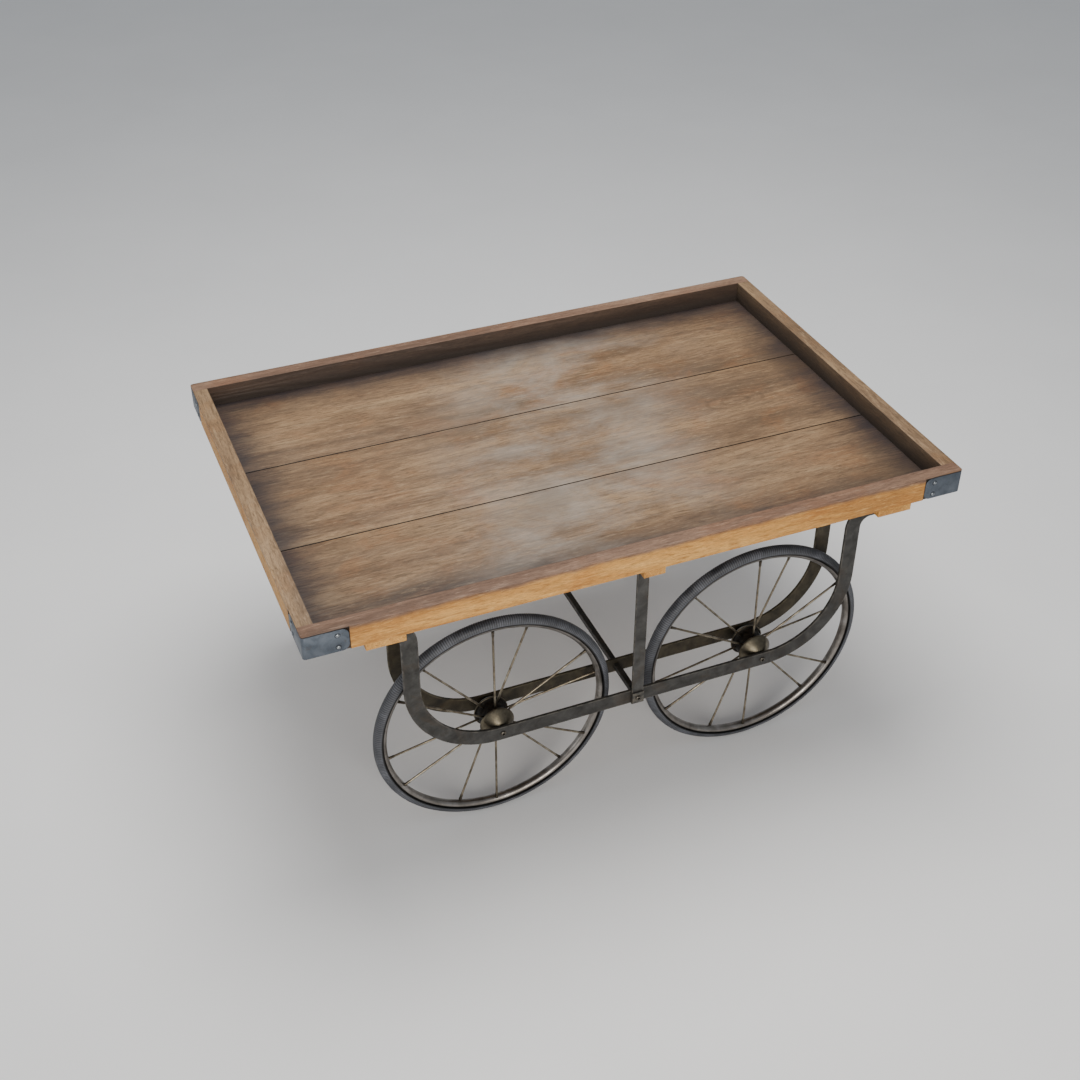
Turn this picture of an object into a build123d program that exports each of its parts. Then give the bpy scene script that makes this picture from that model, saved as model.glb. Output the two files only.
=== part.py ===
"""Four-wheeled hand cart: a shallow wooden tray on two pairs of bent flat bars and four spoked wheels.

Millimetres. Origin on the ground under the middle of the tray, +X towards the front end, +Y to the
left side, +Z up.
"""

from build123d import *
from math import cos, radians, sin, sqrt
import os

os.makedirs("parts", exist_ok=True)

# ---------------------------------------------------------------- driving dimensions
# tray
tray_length = 1800.0
tray_width = 1214.0
rim_thick = 41.5
rim_height = 67.0
rim_corner_radius = 9.0
deck_depth = 60.0            # rim top down to the walking face of the planks
plank_thick = 12.0
plank_count = 3
plank_seam = 2.0             # open gap between two planks
plank_lap = 10.0             # the deck runs this far into the rebate under the rim boards
plank_tongue_drop = 1.0      # the lapped edge lies this much below the walking face
beam_thick = 20.0
end_beam_width = 100.0
middle_beam_width = 60.0
end_beam_past_leg = 74.0     # upright legs out to the centre of each end crossbeam

# corner brackets
bracket_leg = 113.5
bracket_thick = 3.0
bracket_top_drop = 3.0       # bare wood left above the bracket
bracket_end_radius = 18.0
bracket_gap = 1.0            # pocket in the wood, around the bracket's edges
bracket_screw_from_corner = 86.0
bracket_screw_pitch = 35.0
bracket_screw_drop = 1.0         # screw pair below the middle of the bracket
pocket_end_radius = 2.0

# bent flat bars
bar_width = 44.0
bar_thick = 8.0
bar_leg_past_axle = 239.0    # axle out to the centre line of the upright legs
bar_bottom_radius = 228.0    # centre line of the big bends
bar_flare_radius = 50.0      # centre line of the flare under the end crossbeam
bar_lip_past_leg = 109.0     # centre line of the legs out to the end of the lip
frame_drop = 458.5           # crossbeam underside down to the axle line
outer_bar_inset = 70.0       # rim face in to the middle of the outer bar
bar_spacing = 132.0          # middle of the outer bar to the middle of the inner bar

# strut and its foot plate
strut_width = 34.0
strut_thick = 6.0
strut_foot = 46.0            # length of the bent foot under the crossbeam
strut_bend_radius = 8.0
plate_height = 37.0
plate_thick = 5.0

# cross tie
tie_size = 16.0
tie_thread_depth = 32.0

# wheels
wheel_radius = 335.5
tyre_gap = 103.0             # between the front and rear tyres of one side
tyre_section_radius = 16.5
rim_half_width = 13.0        # across the open edges of the rolled rim
tyre_over_rim = 21.5         # crown of the tread above the rim's open edges
rim_depth = 15.0
rim_wall = 2.0
spoke_count = 12
spoke_radius = 3.0
spoke_pair_angle = 20.0      # between the two spokes of a pair
spoke_first_angle = 10.0
spoke_hub_offset = 12.0      # from the wheel's middle plane, at the hub
spoke_rim_offset = 7.0       # from the wheel's middle plane, at the rim
spoke_socket = 8.0           # depth of the spoke hole in the hub drum
spoke_end_gap = 0.2          # spoke end to the rubber in the rim
drum_radius = 40.0
drum_half_width = 22.0
flange_radius = 46.5
flange_thick = 4.0
neck_radius = 15.0
hub_end_gap = 0.4            # turning gap between the hub and the collar beside it
cap_rim_radius = 48.0
cap_wall = 2.0
cap_bulge = 3.5              # how far the bell stands out from a straight cone
bush_wall = 3.0
bush_length = 22.0
axle_radius = 8.0
axle_chamfer = 0.8
collar_radius = 13.0
collar_length = 6.0
cap_end_radius = 17.0

# fasteners
screw_shank_radius = 2.25
round_head_radius = 5.5
round_head_height = 3.2
bracket_screw_length = 30.0
screw_point_length = 6.0
flat_head_radius = 4.6
flat_head_depth = 3.0
deck_screw_length = 24.0
rim_screw_length = 50.0
deck_screw_side_offset = 110.0   # from the middle of each plank
bolt_radius = 5.0
bolt_point = 1.0             # chamfer at the end of the thread
bolt_end_gap = 4.0           # end of the bolt to the bottom of its thread
button_head_radius = 8.0
button_head_height = 4.4
button_socket_radius = 3.0
button_socket_depth = 2.4
axle_thread_depth = 24.0
angle_leg = 40.0
angle_thick = 4.0
angle_width = 50.0
angle_root_radius = 4.0
angle_bolt_radius = 4.0
angle_bolt_head = 13.0       # across flats
angle_bolt_head_height = 5.3
angle_bolt_end = 2.0         # thread showing beyond the nut
angle_screw_pitch = 24.0
angle_screw_back = 24.0      # from the bar face
angle_screw_length = 17.0
strut_screw_end = 9.0        # from the end of the bent foot
strut_screw_pitch = 18.0

# fits
run_fit = 0.05               # radial, between the axle and its bushes
seat_fit = 0.05              # radial, fixed pins and threads in their holes
bolt_clearance = 0.25        # radial, bolts through plain holes
plank_side_gap = 0.5         # deck edges inside the rebates and trenches
tyre_seat_gap = 0.1          # rubber to the rolled rim
tie_slot_gap = 0.3           # square tie in the slots of the inner bars
overcut = 1.0                # cutting shapes run this far past the faces they open

# ---------------------------------------------------------------- places worked out from them
half_length = tray_length / 2
half_width = tray_width / 2
inner_length = tray_length - 2 * rim_thick
inner_width = tray_width - 2 * rim_thick
axle_z = wheel_radius
axle_x = wheel_radius + tyre_gap / 2
bar_leg_x = axle_x + bar_leg_past_axle
bar_lip_end_x = bar_leg_x + bar_lip_past_leg
end_beam_x = bar_leg_x + end_beam_past_leg
beam_bottom = axle_z + frame_drop
rim_bottom = beam_bottom + beam_thick
rim_top = rim_bottom + rim_height
deck_top = rim_top - deck_depth
deck_bottom = deck_top - plank_thick
trench_depth = rim_bottom - deck_bottom
tongue_top = deck_top - plank_tongue_drop
outer_bar_y = half_width - outer_bar_inset
inner_bar_y = outer_bar_y - bar_spacing
wheel_y = (outer_bar_y + inner_bar_y) / 2
bar_gap_half = (bar_spacing - bar_thick) / 2
hub_half_length = bar_gap_half - collar_length - hub_end_gap
strut_y = outer_bar_y + bar_thick / 2
plate_y = strut_y + strut_thick
bracket_z = (rim_bottom, rim_top - bracket_top_drop)
bracket_mid_z = sum(bracket_z) / 2 - bracket_screw_drop
tyre_centre_radius = wheel_radius - tyre_section_radius
rim_edge_radius = wheel_radius - tyre_over_rim
rim_arc_radius = (rim_half_width**2 + rim_depth**2) / (2 * rim_depth)
rim_arc_centre = rim_edge_radius - rim_depth + rim_arc_radius
bush_radius = axle_radius + run_fit + bush_wall
lip_middle_x = (bar_leg_x + bar_flare_radius + bar_lip_end_x) / 2
angle_bolt_z = beam_bottom - bar_width / 2
plank_pitch = (inner_width + plank_seam) / plank_count

sides = {"left": 1, "right": -1}
ends = {"front": 1, "rear": -1}


def save(part, node):
    """Label a finished piece and write it as its own STEP file."""
    part.label = node
    export_step(part, f"parts/{node}.step")


def xz_plane(y):
    """Upright lengthwise plane at y; extruding from it goes towards -Y."""
    return Plane.XZ.offset(-y)


# ---------------------------------------------------------------- shared shapes
def bracket_shape(end, side, leg, thick_in, thick_out, z_low, z_high, end_radius):
    """L-shaped corner plate: thick_in into the wood from the rim's faces, thick_out outside them."""
    width = thick_in + thick_out
    mid = (thick_out - thick_in) / 2
    x_face = end * (half_length + mid)
    y_face = side * (half_width + mid)
    with BuildPart() as plate:
        with BuildSketch(Plane.XY.offset(z_low)):
            with BuildLine():
                FilletPolyline(
                    (end * (half_length - leg), y_face),
                    (x_face, y_face),
                    (x_face, side * (half_width - leg)),
                    radius=rim_corner_radius + mid,
                )
            trace(line_width=width)
        extrude(amount=z_high - z_low)
        short = plate.edges().filter_by(lambda e: abs(e.length - width) < 1e-3)
        fillet(short.filter_by(Axis.X) + short.filter_by(Axis.Y), radius=end_radius)
    return plate.part


def turned_screw(tip, direction, profile):
    """Round piece turned about the line from tip; profile is (distance, radius) pairs from the tip."""
    plane = Plane(origin=tip, z_dir=direction)
    side_plane = Plane(origin=tip, x_dir=plane.x_dir, z_dir=plane.y_dir)
    height_sign = 1 if side_plane.y_dir.dot(plane.z_dir) > 0 else -1
    with BuildPart() as screw:
        with BuildSketch(side_plane):
            with BuildLine():
                Polyline(
                    (0, 0),
                    *[(radius, height_sign * distance) for distance, radius in profile],
                    (0, height_sign * profile[-1][0]),
                    close=True,
                )
            make_face()
        revolve(axis=Axis(tip, tuple(plane.z_dir)))
    return screw.part


def round_head_screw(face_point, outward):
    """Round-head wood screw whose head sits on face_point and points outward."""
    out = Vector(*outward)
    tip = Vector(*face_point) - out * bracket_screw_length
    length = bracket_screw_length
    profile = [
        (screw_point_length / 3, screw_shank_radius * 0.5),
        (screw_point_length, screw_shank_radius),
        (length, screw_shank_radius),
        (length, round_head_radius),
        (length + 0.45 * round_head_height, round_head_radius * 0.9),
        (length + 0.8 * round_head_height, round_head_radius * 0.62),
        (length + round_head_height, round_head_radius * 0.25),
    ]
    return turned_screw(tuple(tip), outward, profile)


def flat_head_screw(x, y, z_head, length, grow=0.0):
    """Countersunk wood screw driven upwards, head flush with z_head; grow makes its hole."""
    shank = screw_shank_radius + grow
    profile = [
        (0.0, flat_head_radius + grow),
        (flat_head_depth, shank),
        (length - screw_point_length + grow, shank),
        (length + grow, 0.4 + grow),
    ]
    return turned_screw((x, y, z_head), (0, 0, 1), profile)


def button_bolt(face_point, outward, shank_length):
    """Domed socket-head bolt whose head sits on face_point."""
    out = Vector(*outward)
    tip = Vector(*face_point) - out * shank_length
    top = shank_length + button_head_height
    profile = [
        (0.0, bolt_radius - bolt_point),
        (bolt_point, bolt_radius),
        (shank_length, bolt_radius),
        (shank_length, button_head_radius),
        (shank_length + 0.3 * button_head_height, button_head_radius),
        (shank_length + 0.75 * button_head_height, button_head_radius * 0.8),
        (top, button_head_radius * 0.5),
        (top, button_socket_radius),
        (top - button_socket_depth, button_socket_radius),
    ]
    return turned_screw(tuple(tip), outward, profile)


# ---------------------------------------------------------------- places of the fasteners
deck_screw_y = [
    side * (row * plank_pitch + offset)
    for side, row, offset in (
        (1, 0, deck_screw_side_offset),
        (-1, 0, deck_screw_side_offset),
        (1, 1, -deck_screw_side_offset),
        (1, 1, deck_screw_side_offset),
        (-1, 1, -deck_screw_side_offset),
        (-1, 1, deck_screw_side_offset),
    )
]
rim_screw_y = [side * (half_width - rim_thick / 2) for side in (1, -1)]
beams = {
    "front": (end_beam_x, end_beam_width),
    "middle": (0.0, middle_beam_width),
    "rear": (-end_beam_x, end_beam_width),
}
beam_screws_at = [(x, y, deck_screw_length) for x, width in beams.values() for y in deck_screw_y]
beam_screws_at += [(x, y, rim_screw_length) for x, width in beams.values() for y in rim_screw_y]

bracket_screws_at = []
for end in ends.values():
    for side in sides.values():
        for dz in (-bracket_screw_pitch / 2, bracket_screw_pitch / 2):
            z = bracket_mid_z + dz
            x = end * (half_length - bracket_screw_from_corner)
            y = side * (half_width - bracket_screw_from_corner)
            bracket_screws_at.append(((x, side * half_width, z), (0, side, 0)))
            bracket_screws_at.append(((end * half_length, y, z), (end, 0, 0)))

# each bar end: (x of the bolt, y of the bar face that the angle sits on, direction the angle's foot takes)
angle_seats = []
for end in ends.values():
    for side in sides.values():
        angle_seats.append((end * lip_middle_x, side * (outer_bar_y - bar_thick / 2), -side))
        angle_seats.append((end * lip_middle_x, side * (inner_bar_y + bar_thick / 2), side))

foot_screws_at = []
for x, y, way in angle_seats:
    for dx in (-angle_screw_pitch / 2, angle_screw_pitch / 2):
        foot_screws_at.append((x + dx, y + way * angle_screw_back, angle_thick))
strut_screw_y = strut_y + strut_thick - strut_foot + strut_screw_end
for side in sides.values():
    for step in (0.0, strut_screw_pitch):
        foot_screws_at.append((0.0, side * (strut_screw_y + step), strut_thick))


def add_foot_screw_holes():
    """Cut the wood-screw holes of the angles and strut feet from the part being built."""
    for x, y, plate in foot_screws_at:
        z_head = beam_bottom - plate
        add(flat_head_screw(x, y, z_head, angle_screw_length, grow=seat_fit), mode=Mode.SUBTRACT)


# ---------------------------------------------------------------- deck planks
plank_half = (plank_pitch - plank_seam) / 2
plank_tongue = plank_lap - plank_side_gap
plank_length = inner_length + 2 * plank_tongue
for name, row in (("right", -1), ("middle", 0), ("left", 1)):
    low = row * plank_pitch - plank_half
    high = row * plank_pitch + plank_half
    if row > 0:
        high += plank_tongue
    if row < 0:
        low -= plank_tongue
    with BuildPart() as plank:
        with Locations((0, (low + high) / 2, deck_bottom)):
            Box(plank_length, high - low, plank_thick, align=(Align.CENTER, Align.CENTER, Align.MIN))
        with BuildSketch(Plane.XY.offset(tongue_top)):
            Rectangle(tray_length, tray_width)
            Rectangle(inner_length - 2 * plank_side_gap, inner_width - 2 * plank_side_gap, mode=Mode.SUBTRACT)
        extrude(amount=plank_tongue_drop + overcut, mode=Mode.SUBTRACT)
        for x, y, length in beam_screws_at:
            if low < y < high and length == deck_screw_length:
                add(flat_head_screw(x, y, beam_bottom, length, grow=seat_fit), mode=Mode.SUBTRACT)
    save(plank.part, f"deck_plank_{name}")

# ---------------------------------------------------------------- rim boards
pockets = [
    bracket_shape(
        end,
        side,
        bracket_leg + bracket_gap,
        bracket_thick,
        overcut,
        rim_bottom - overcut,
        rim_top - bracket_top_drop + bracket_gap,
        pocket_end_radius,
    )
    for end in ends.values()
    for side in sides.values()
]


def fit_rim_board():
    """Cut what every rim board shares: deck rebate, bracket pockets and the screw holes."""
    with BuildSketch(Plane.XY.offset(rim_bottom - overcut)) as rebate:
        Rectangle(inner_length + 2 * plank_lap, inner_width + 2 * plank_lap)
    extrude(rebate.sketch, amount=tongue_top - rim_bottom + overcut, mode=Mode.SUBTRACT)
    for pocket in pockets:
        add(pocket, mode=Mode.SUBTRACT)
    for point, outward in bracket_screws_at:
        inward = tuple(-c for c in outward)
        with BuildSketch(Plane(origin=point, z_dir=inward)) as pilot:
            Circle(screw_shank_radius + seat_fit)
        extrude(pilot.sketch, amount=bracket_screw_length + overcut, mode=Mode.SUBTRACT)
    for x, y, length in beam_screws_at:
        if length == rim_screw_length:
            add(flat_head_screw(x, y, beam_bottom, length, grow=seat_fit), mode=Mode.SUBTRACT)


for name, side in sides.items():
    with BuildPart() as board:
        with Locations((0, side * (half_width - rim_thick / 2), rim_bottom)):
            Box(tray_length, rim_thick, rim_height, align=(Align.CENTER, Align.CENTER, Align.MIN))
        outer_corners = board.edges().filter_by(Axis.Z).group_by(Axis.Y)[-1 if side > 0 else 0]
        fillet(outer_corners, radius=rim_corner_radius)
        fit_rim_board()
    save(board.part, f"rim_board_{name}")

for name, end in ends.items():
    with BuildPart() as board:
        with Locations((end * (half_length - rim_thick / 2), 0, rim_bottom)):
            Box(rim_thick, inner_width, rim_height, align=(Align.CENTER, Align.CENTER, Align.MIN))
        fit_rim_board()
    save(board.part, f"rim_board_{name}")

# ---------------------------------------------------------------- crossbeams
for name, (beam_x, beam_width) in beams.items():
    with BuildPart() as beam:
        with Locations((beam_x, 0, beam_bottom)):
            Box(beam_width, tray_width, beam_thick, align=(Align.CENTER, Align.CENTER, Align.MIN))
        with BuildSketch(Plane.XY.offset(deck_bottom)):
            Rectangle(tray_length, inner_width + 2 * plank_lap)
        extrude(amount=trench_depth + overcut, mode=Mode.SUBTRACT)
        for x, y, length in beam_screws_at:
            if x == beam_x:
                add(flat_head_screw(x, y, beam_bottom, length, grow=seat_fit), mode=Mode.SUBTRACT)
        add_foot_screw_holes()
    save(beam.part, f"crossbeam_{name}")

# ---------------------------------------------------------------- corner brackets
for end_name, end in ends.items():
    for side_name, side in sides.items():
        plate = bracket_shape(
            end, side, bracket_leg, bracket_thick, 0.0, *bracket_z, bracket_end_radius
        )
        with BuildPart() as bracket:
            add(plate)
            for point, outward in bracket_screws_at:
                with BuildSketch(Plane(origin=point, z_dir=outward).offset(-bracket_thick - overcut)):
                    Circle(screw_shank_radius + bolt_clearance)
                extrude(amount=bracket_thick + 2 * overcut, mode=Mode.SUBTRACT)
        save(bracket.part, f"corner_bracket_{end_name}_{side_name}")

# ---------------------------------------------------------------- wood screws
with BuildPart() as bracket_screws:
    for point, outward in bracket_screws_at:
        add(round_head_screw(point, outward))
save(bracket_screws.part, "bracket_screws")

with BuildPart() as beam_screws:
    for x, y, length in beam_screws_at:
        add(flat_head_screw(x, y, beam_bottom, length))
save(beam_screws.part, "beam_screws")

with BuildPart() as foot_screws:
    for x, y, plate in foot_screws_at:
        add(flat_head_screw(x, y, beam_bottom - plate, angle_screw_length))
save(foot_screws.part, "foot_screws")

# ---------------------------------------------------------------- bent flat bars
lip_z = beam_bottom - bar_width / 2
bars = {"outer": outer_bar_y, "inner": inner_bar_y}
for side_name, side in sides.items():
    for bar_name, bar_y in bars.items():
        bar_face = side * bar_y + bar_thick / 2
        with BuildPart() as bar:
            with BuildSketch(xz_plane(bar_face)):
                with BuildLine():
                    FilletPolyline(
                        (-bar_lip_end_x, lip_z),
                        (-bar_leg_x, lip_z),
                        (-bar_leg_x, axle_z),
                        (bar_leg_x, axle_z),
                        (bar_leg_x, lip_z),
                        (bar_lip_end_x, lip_z),
                        radius=[bar_flare_radius, bar_bottom_radius, bar_bottom_radius, bar_flare_radius],
                    )
                trace(line_width=bar_width)
            extrude(amount=bar_thick)
            with BuildSketch(xz_plane(bar_face)):
                with Locations((-axle_x, axle_z), (axle_x, axle_z)):
                    Circle(bolt_radius + bolt_clearance)
                with Locations((-lip_middle_x, angle_bolt_z), (lip_middle_x, angle_bolt_z)):
                    Circle(angle_bolt_radius + bolt_clearance)
                with Locations((0, axle_z)):
                    if bar_name == "outer":
                        Circle(bolt_radius + bolt_clearance)
                    else:
                        Rectangle(tie_size + 2 * tie_slot_gap, tie_size + 2 * tie_slot_gap)
            extrude(amount=bar_thick, mode=Mode.SUBTRACT)
        save(bar.part, f"frame_bar_{side_name}_{bar_name}")

# ---------------------------------------------------------------- angle brackets at the bar ends
with BuildPart() as frame_angles:
    for x, y, way in angle_seats:
        x_plane = Plane.YZ.offset(x - angle_width / 2)
        half = angle_thick / 2
        with BuildSketch(x_plane):
            with BuildLine():
                FilletPolyline(
                    (y + way * half, beam_bottom - angle_leg),
                    (y + way * half, beam_bottom - half),
                    (y + way * angle_leg, beam_bottom - half),
                    radius=angle_root_radius,
                )
            trace(line_width=angle_thick)
        extrude(amount=angle_width)
    for x, y, way in angle_seats:
        with BuildSketch(xz_plane(y + angle_thick)):
            with Locations((x, angle_bolt_z)):
                Circle(angle_bolt_radius + bolt_clearance)
        extrude(amount=2 * angle_thick, mode=Mode.SUBTRACT)
    add_foot_screw_holes()
save(frame_angles.part, "frame_angles")

# hex head on the bar side, hex nut on the angle side
with BuildPart() as angle_bolts:
    for x, y, way in angle_seats:
        head_face = y - way * bar_thick
        nut_face = y + way * angle_thick
        with BuildSketch(Plane(origin=(x, head_face, angle_bolt_z), z_dir=(0, -way, 0))):
            RegularPolygon(angle_bolt_head / 2, 6, major_radius=False)
        extrude(amount=angle_bolt_head_height)
        with BuildSketch(Plane(origin=(x, nut_face, angle_bolt_z), z_dir=(0, way, 0))):
            RegularPolygon(angle_bolt_head / 2, 6, major_radius=False)
        extrude(amount=angle_bolt_head_height)
        with BuildSketch(Plane(origin=(x, head_face, angle_bolt_z), z_dir=(0, way, 0))):
            Circle(angle_bolt_radius)
        extrude(amount=bar_thick + angle_thick + angle_bolt_head_height + angle_bolt_end)
save(angle_bolts.part, "angle_bolts")

# ---------------------------------------------------------------- struts and foot plates
for side_name, side in sides.items():
    strut_mid = side * (strut_y + strut_thick / 2)
    with BuildPart() as strut:
        with BuildSketch(Plane.YZ.offset(-strut_width / 2)):
            with BuildLine():
                FilletPolyline(
                    (strut_mid, axle_z - bar_width / 2),
                    (strut_mid, beam_bottom - strut_thick / 2),
                    (side * (strut_y + strut_thick - strut_foot), beam_bottom - strut_thick / 2),
                    radius=strut_bend_radius,
                )
            trace(line_width=strut_thick)
        extrude(amount=strut_width)
        with BuildSketch(xz_plane(strut_mid + strut_thick)):
            with Locations((0, axle_z)):
                Circle(bolt_radius + bolt_clearance)
        extrude(amount=2 * strut_thick, mode=Mode.SUBTRACT)
        add_foot_screw_holes()
    save(strut.part, f"strut_{side_name}")

with BuildPart() as strut_plates:
    for side in sides.values():
        with BuildSketch(Plane(origin=(0, side * plate_y, axle_z), x_dir=(1, 0, 0), z_dir=(0, side, 0))):
            Rectangle(strut_width, plate_height)
            Circle(bolt_radius + bolt_clearance, mode=Mode.SUBTRACT)
        extrude(amount=plate_thick)
save(strut_plates.part, "strut_plates")

# ---------------------------------------------------------------- cross tie and its bolts
tie_half = outer_bar_y - bar_thick / 2
with BuildPart() as cross_tie:
    with Locations((0, 0, axle_z)):
        Box(tie_size, 2 * tie_half, tie_size)
    for side in sides.values():
        with BuildSketch(Plane(origin=(0, side * tie_half, axle_z), z_dir=(0, -side, 0))):
            Circle(bolt_radius + seat_fit)
        extrude(amount=tie_thread_depth, mode=Mode.SUBTRACT)
save(cross_tie.part, "cross_tie")

with BuildPart() as tie_bolts:
    for side in sides.values():
        grip = plate_thick + strut_thick + bar_thick
        head_face = (0, side * (plate_y + plate_thick), axle_z)
        add(button_bolt(head_face, (0, side, 0), grip + tie_thread_depth - bolt_end_gap))
save(tie_bolts.part, "tie_bolts")

# ---------------------------------------------------------------- axles, collars and axle screws
for end_name, end in ends.items():
    for side_name, side in sides.items():
        with BuildPart() as axle:
            with BuildSketch(xz_plane(side * wheel_y + bar_gap_half)):
                with Locations((end * axle_x, axle_z)):
                    Circle(axle_radius)
            extrude(amount=2 * bar_gap_half)
            chamfer(axle.edges().filter_by(GeomType.CIRCLE), length=axle_chamfer)
            for way in (1, -1):
                face = (end * axle_x, side * wheel_y + way * bar_gap_half, axle_z)
                with BuildSketch(Plane(origin=face, z_dir=(0, -way, 0))):
                    Circle(bolt_radius + seat_fit)
                extrude(amount=axle_thread_depth, mode=Mode.SUBTRACT)
        save(axle.part, f"axle_{end_name}_{side_name}")

with BuildPart() as axle_collars:
    for end in ends.values():
        for side in sides.values():
            for way in (1, -1):
                face = (end * axle_x, side * wheel_y + way * bar_gap_half, axle_z)
                with BuildSketch(Plane(origin=face, z_dir=(0, -way, 0))):
                    Circle(collar_radius)
                    Circle(axle_radius + seat_fit, mode=Mode.SUBTRACT)
                extrude(amount=collar_length)
save(axle_collars.part, "axle_collars")

with BuildPart() as axle_screws:
    for end in ends.values():
        for side in sides.values():
            for way in (1, -1):
                y_face = side * wheel_y + way * (bar_gap_half + bar_thick)
                face = (end * axle_x, y_face, axle_z)
                add(button_bolt(face, (0, way, 0), bar_thick + axle_thread_depth - bolt_end_gap))
save(axle_screws.part, "axle_screws")


# ---------------------------------------------------------------- wheels
def wheel_plane(x, y):
    """Half-section plane of a wheel: local x is the distance from its middle plane, local y the radius."""
    return Plane(origin=(x, y, axle_z), x_dir=(0, 1, 0), z_dir=(1, 0, 0))


def wheel_axis(x, y):
    return Axis((x, y, axle_z), (0, 1, 0))


def spoke_lines(x, y, side):
    """Start plane and length of each spoke: outer and inner spokes alternate, in pairs."""
    lines = []
    pitch = 720.0 / spoke_count
    channel_radius = rim_arc_radius - rim_wall
    across = spoke_rim_offset - spoke_radius
    rim_inside = rim_arc_centre - sqrt(channel_radius**2 - across**2) - spoke_end_gap
    for k in range(spoke_count // 2):
        for offset, way in ((0.0, -1), (spoke_pair_angle, 1)):
            angle = radians(spoke_first_angle + offset + k * pitch)
            start_r = drum_radius - spoke_socket
            start = Vector(
                x + start_r * cos(angle), y + side * way * spoke_hub_offset, axle_z + start_r * sin(angle)
            )
            finish = Vector(
                x + rim_inside * cos(angle), y + side * way * spoke_rim_offset, axle_z + rim_inside * sin(angle)
            )
            lines.append((Plane(origin=start, z_dir=finish - start), (finish - start).length))
    return lines


def add_spokes(x, y, side, grow, mode):
    """Round spokes of the wheel at x, y; grow widens and lengthens them to cut their holes."""
    for plane, length in spoke_lines(x, y, side):
        with BuildSketch(plane) as section:
            Circle(spoke_radius + grow)
        extrude(section.sketch, amount=length + 20 * grow, mode=mode)


for end_name, end in ends.items():
    for side_name, side in sides.items():
        x = end * axle_x
        y = side * wheel_y
        corner = f"{end_name}_{side_name}"
        axis = wheel_axis(x, y)

        # rolled steel rim: one even wall bent to an open channel
        with BuildPart() as rim:
            with BuildSketch(wheel_plane(x, y)):
                with Locations((0, rim_arc_centre)):
                    Circle(rim_arc_radius)
                    Circle(rim_arc_radius - rim_wall, mode=Mode.SUBTRACT)
                with Locations((0, rim_edge_radius)):
                    Rectangle(
                        4 * rim_half_width,
                        2 * rim_depth,
                        align=(Align.CENTER, Align.MIN),
                        mode=Mode.SUBTRACT,
                    )
            revolve(axis=axis)
            add_spokes(x, y, side, seat_fit, Mode.SUBTRACT)
        save(rim.part, f"{corner}_rim")

        # solid rubber tyre: round tread with a narrower foot that beds in the rim
        with BuildPart() as tyre:
            with BuildSketch(wheel_plane(x, y)):
                with Locations((0, tyre_centre_radius)):
                    Circle(tyre_section_radius)
                with Locations((0, rim_edge_radius + 10 * tyre_seat_gap)):
                    Rectangle(
                        4 * rim_half_width,
                        2 * rim_depth,
                        align=(Align.CENTER, Align.MAX),
                        mode=Mode.SUBTRACT,
                    )
                with Locations((0, rim_arc_centre)):
                    Circle(rim_arc_radius - rim_wall - tyre_seat_gap)
            revolve(axis=axis)
        save(tyre.part, f"{corner}_tyre")

        with BuildPart() as spokes:
            add_spokes(x, y, side, 0.0, Mode.ADD)
        save(spokes.part, f"{corner}_spokes")

        # hub: drum between two flanges, with a neck to each side for the bushes
        with BuildPart() as hub:
            with BuildSketch(wheel_plane(x, y)):
                with BuildLine():
                    Polyline(
                        (-hub_half_length, bush_radius + seat_fit),
                        (-hub_half_length, neck_radius),
                        (-drum_half_width - flange_thick, neck_radius),
                        (-drum_half_width - flange_thick, flange_radius),
                        (-drum_half_width, flange_radius),
                        (-drum_half_width, drum_radius),
                        (drum_half_width, drum_radius),
                        (drum_half_width, flange_radius),
                        (drum_half_width + flange_thick, flange_radius),
                        (drum_half_width + flange_thick, neck_radius),
                        (hub_half_length, neck_radius),
                        (hub_half_length, bush_radius + seat_fit),
                        close=True,
                    )
                make_face()
            revolve(axis=axis)
            add_spokes(x, y, side, seat_fit, Mode.SUBTRACT)
        save(hub.part, f"{corner}_hub")

        # two spun bell-shaped caps, wide edge over the flange, small end around the neck
        with BuildPart() as hub_caps:
            for way in (1, -1):
                wide = way * drum_half_width
                shoulder = way * (drum_half_width + flange_thick)
                small = way * hub_half_length
                small_inside = small - way * cap_wall
                shoulder_inside = shoulder + way * seat_fit
                bulge = (shoulder + small) / 2 + way * 0.6 * cap_bulge
                mean_radius = (cap_rim_radius + cap_end_radius) / 2
                with BuildSketch(wheel_plane(x, y)):
                    with BuildLine():
                        Line((wide, flange_radius + seat_fit), (wide, cap_rim_radius))
                        Line((wide, cap_rim_radius), (shoulder, cap_rim_radius))
                        ThreePointArc(
                            (shoulder, cap_rim_radius),
                            (bulge, mean_radius + cap_bulge),
                            (small, cap_end_radius),
                        )
                        Line((small, cap_end_radius), (small, neck_radius + seat_fit))
                        Line((small, neck_radius + seat_fit), (small_inside, neck_radius + seat_fit))
                        ThreePointArc(
                            (small_inside, neck_radius + seat_fit),
                            (bulge - way * cap_wall, mean_radius + cap_bulge - cap_wall),
                            (shoulder_inside, flange_radius + seat_fit),
                        )
                        Line((shoulder_inside, flange_radius + seat_fit), (wide, flange_radius + seat_fit))
                    make_face()
                revolve(axis=axis)
        save(hub_caps.part, f"{corner}_hub_caps")

        with BuildPart() as bushes:
            for way in (1, -1):
                face = (x, y + way * hub_half_length, axle_z)
                with BuildSketch(Plane(origin=face, z_dir=(0, -way, 0))):
                    Circle(bush_radius)
                    Circle(axle_radius + run_fit, mode=Mode.SUBTRACT)
                extrude(amount=bush_length)
        save(bushes.part, f"{corner}_bushes")
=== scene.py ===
from math import atan2, cos, pi, radians, sin, tau

import bmesh
import bpy
from mathutils import Matrix, Vector


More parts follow.
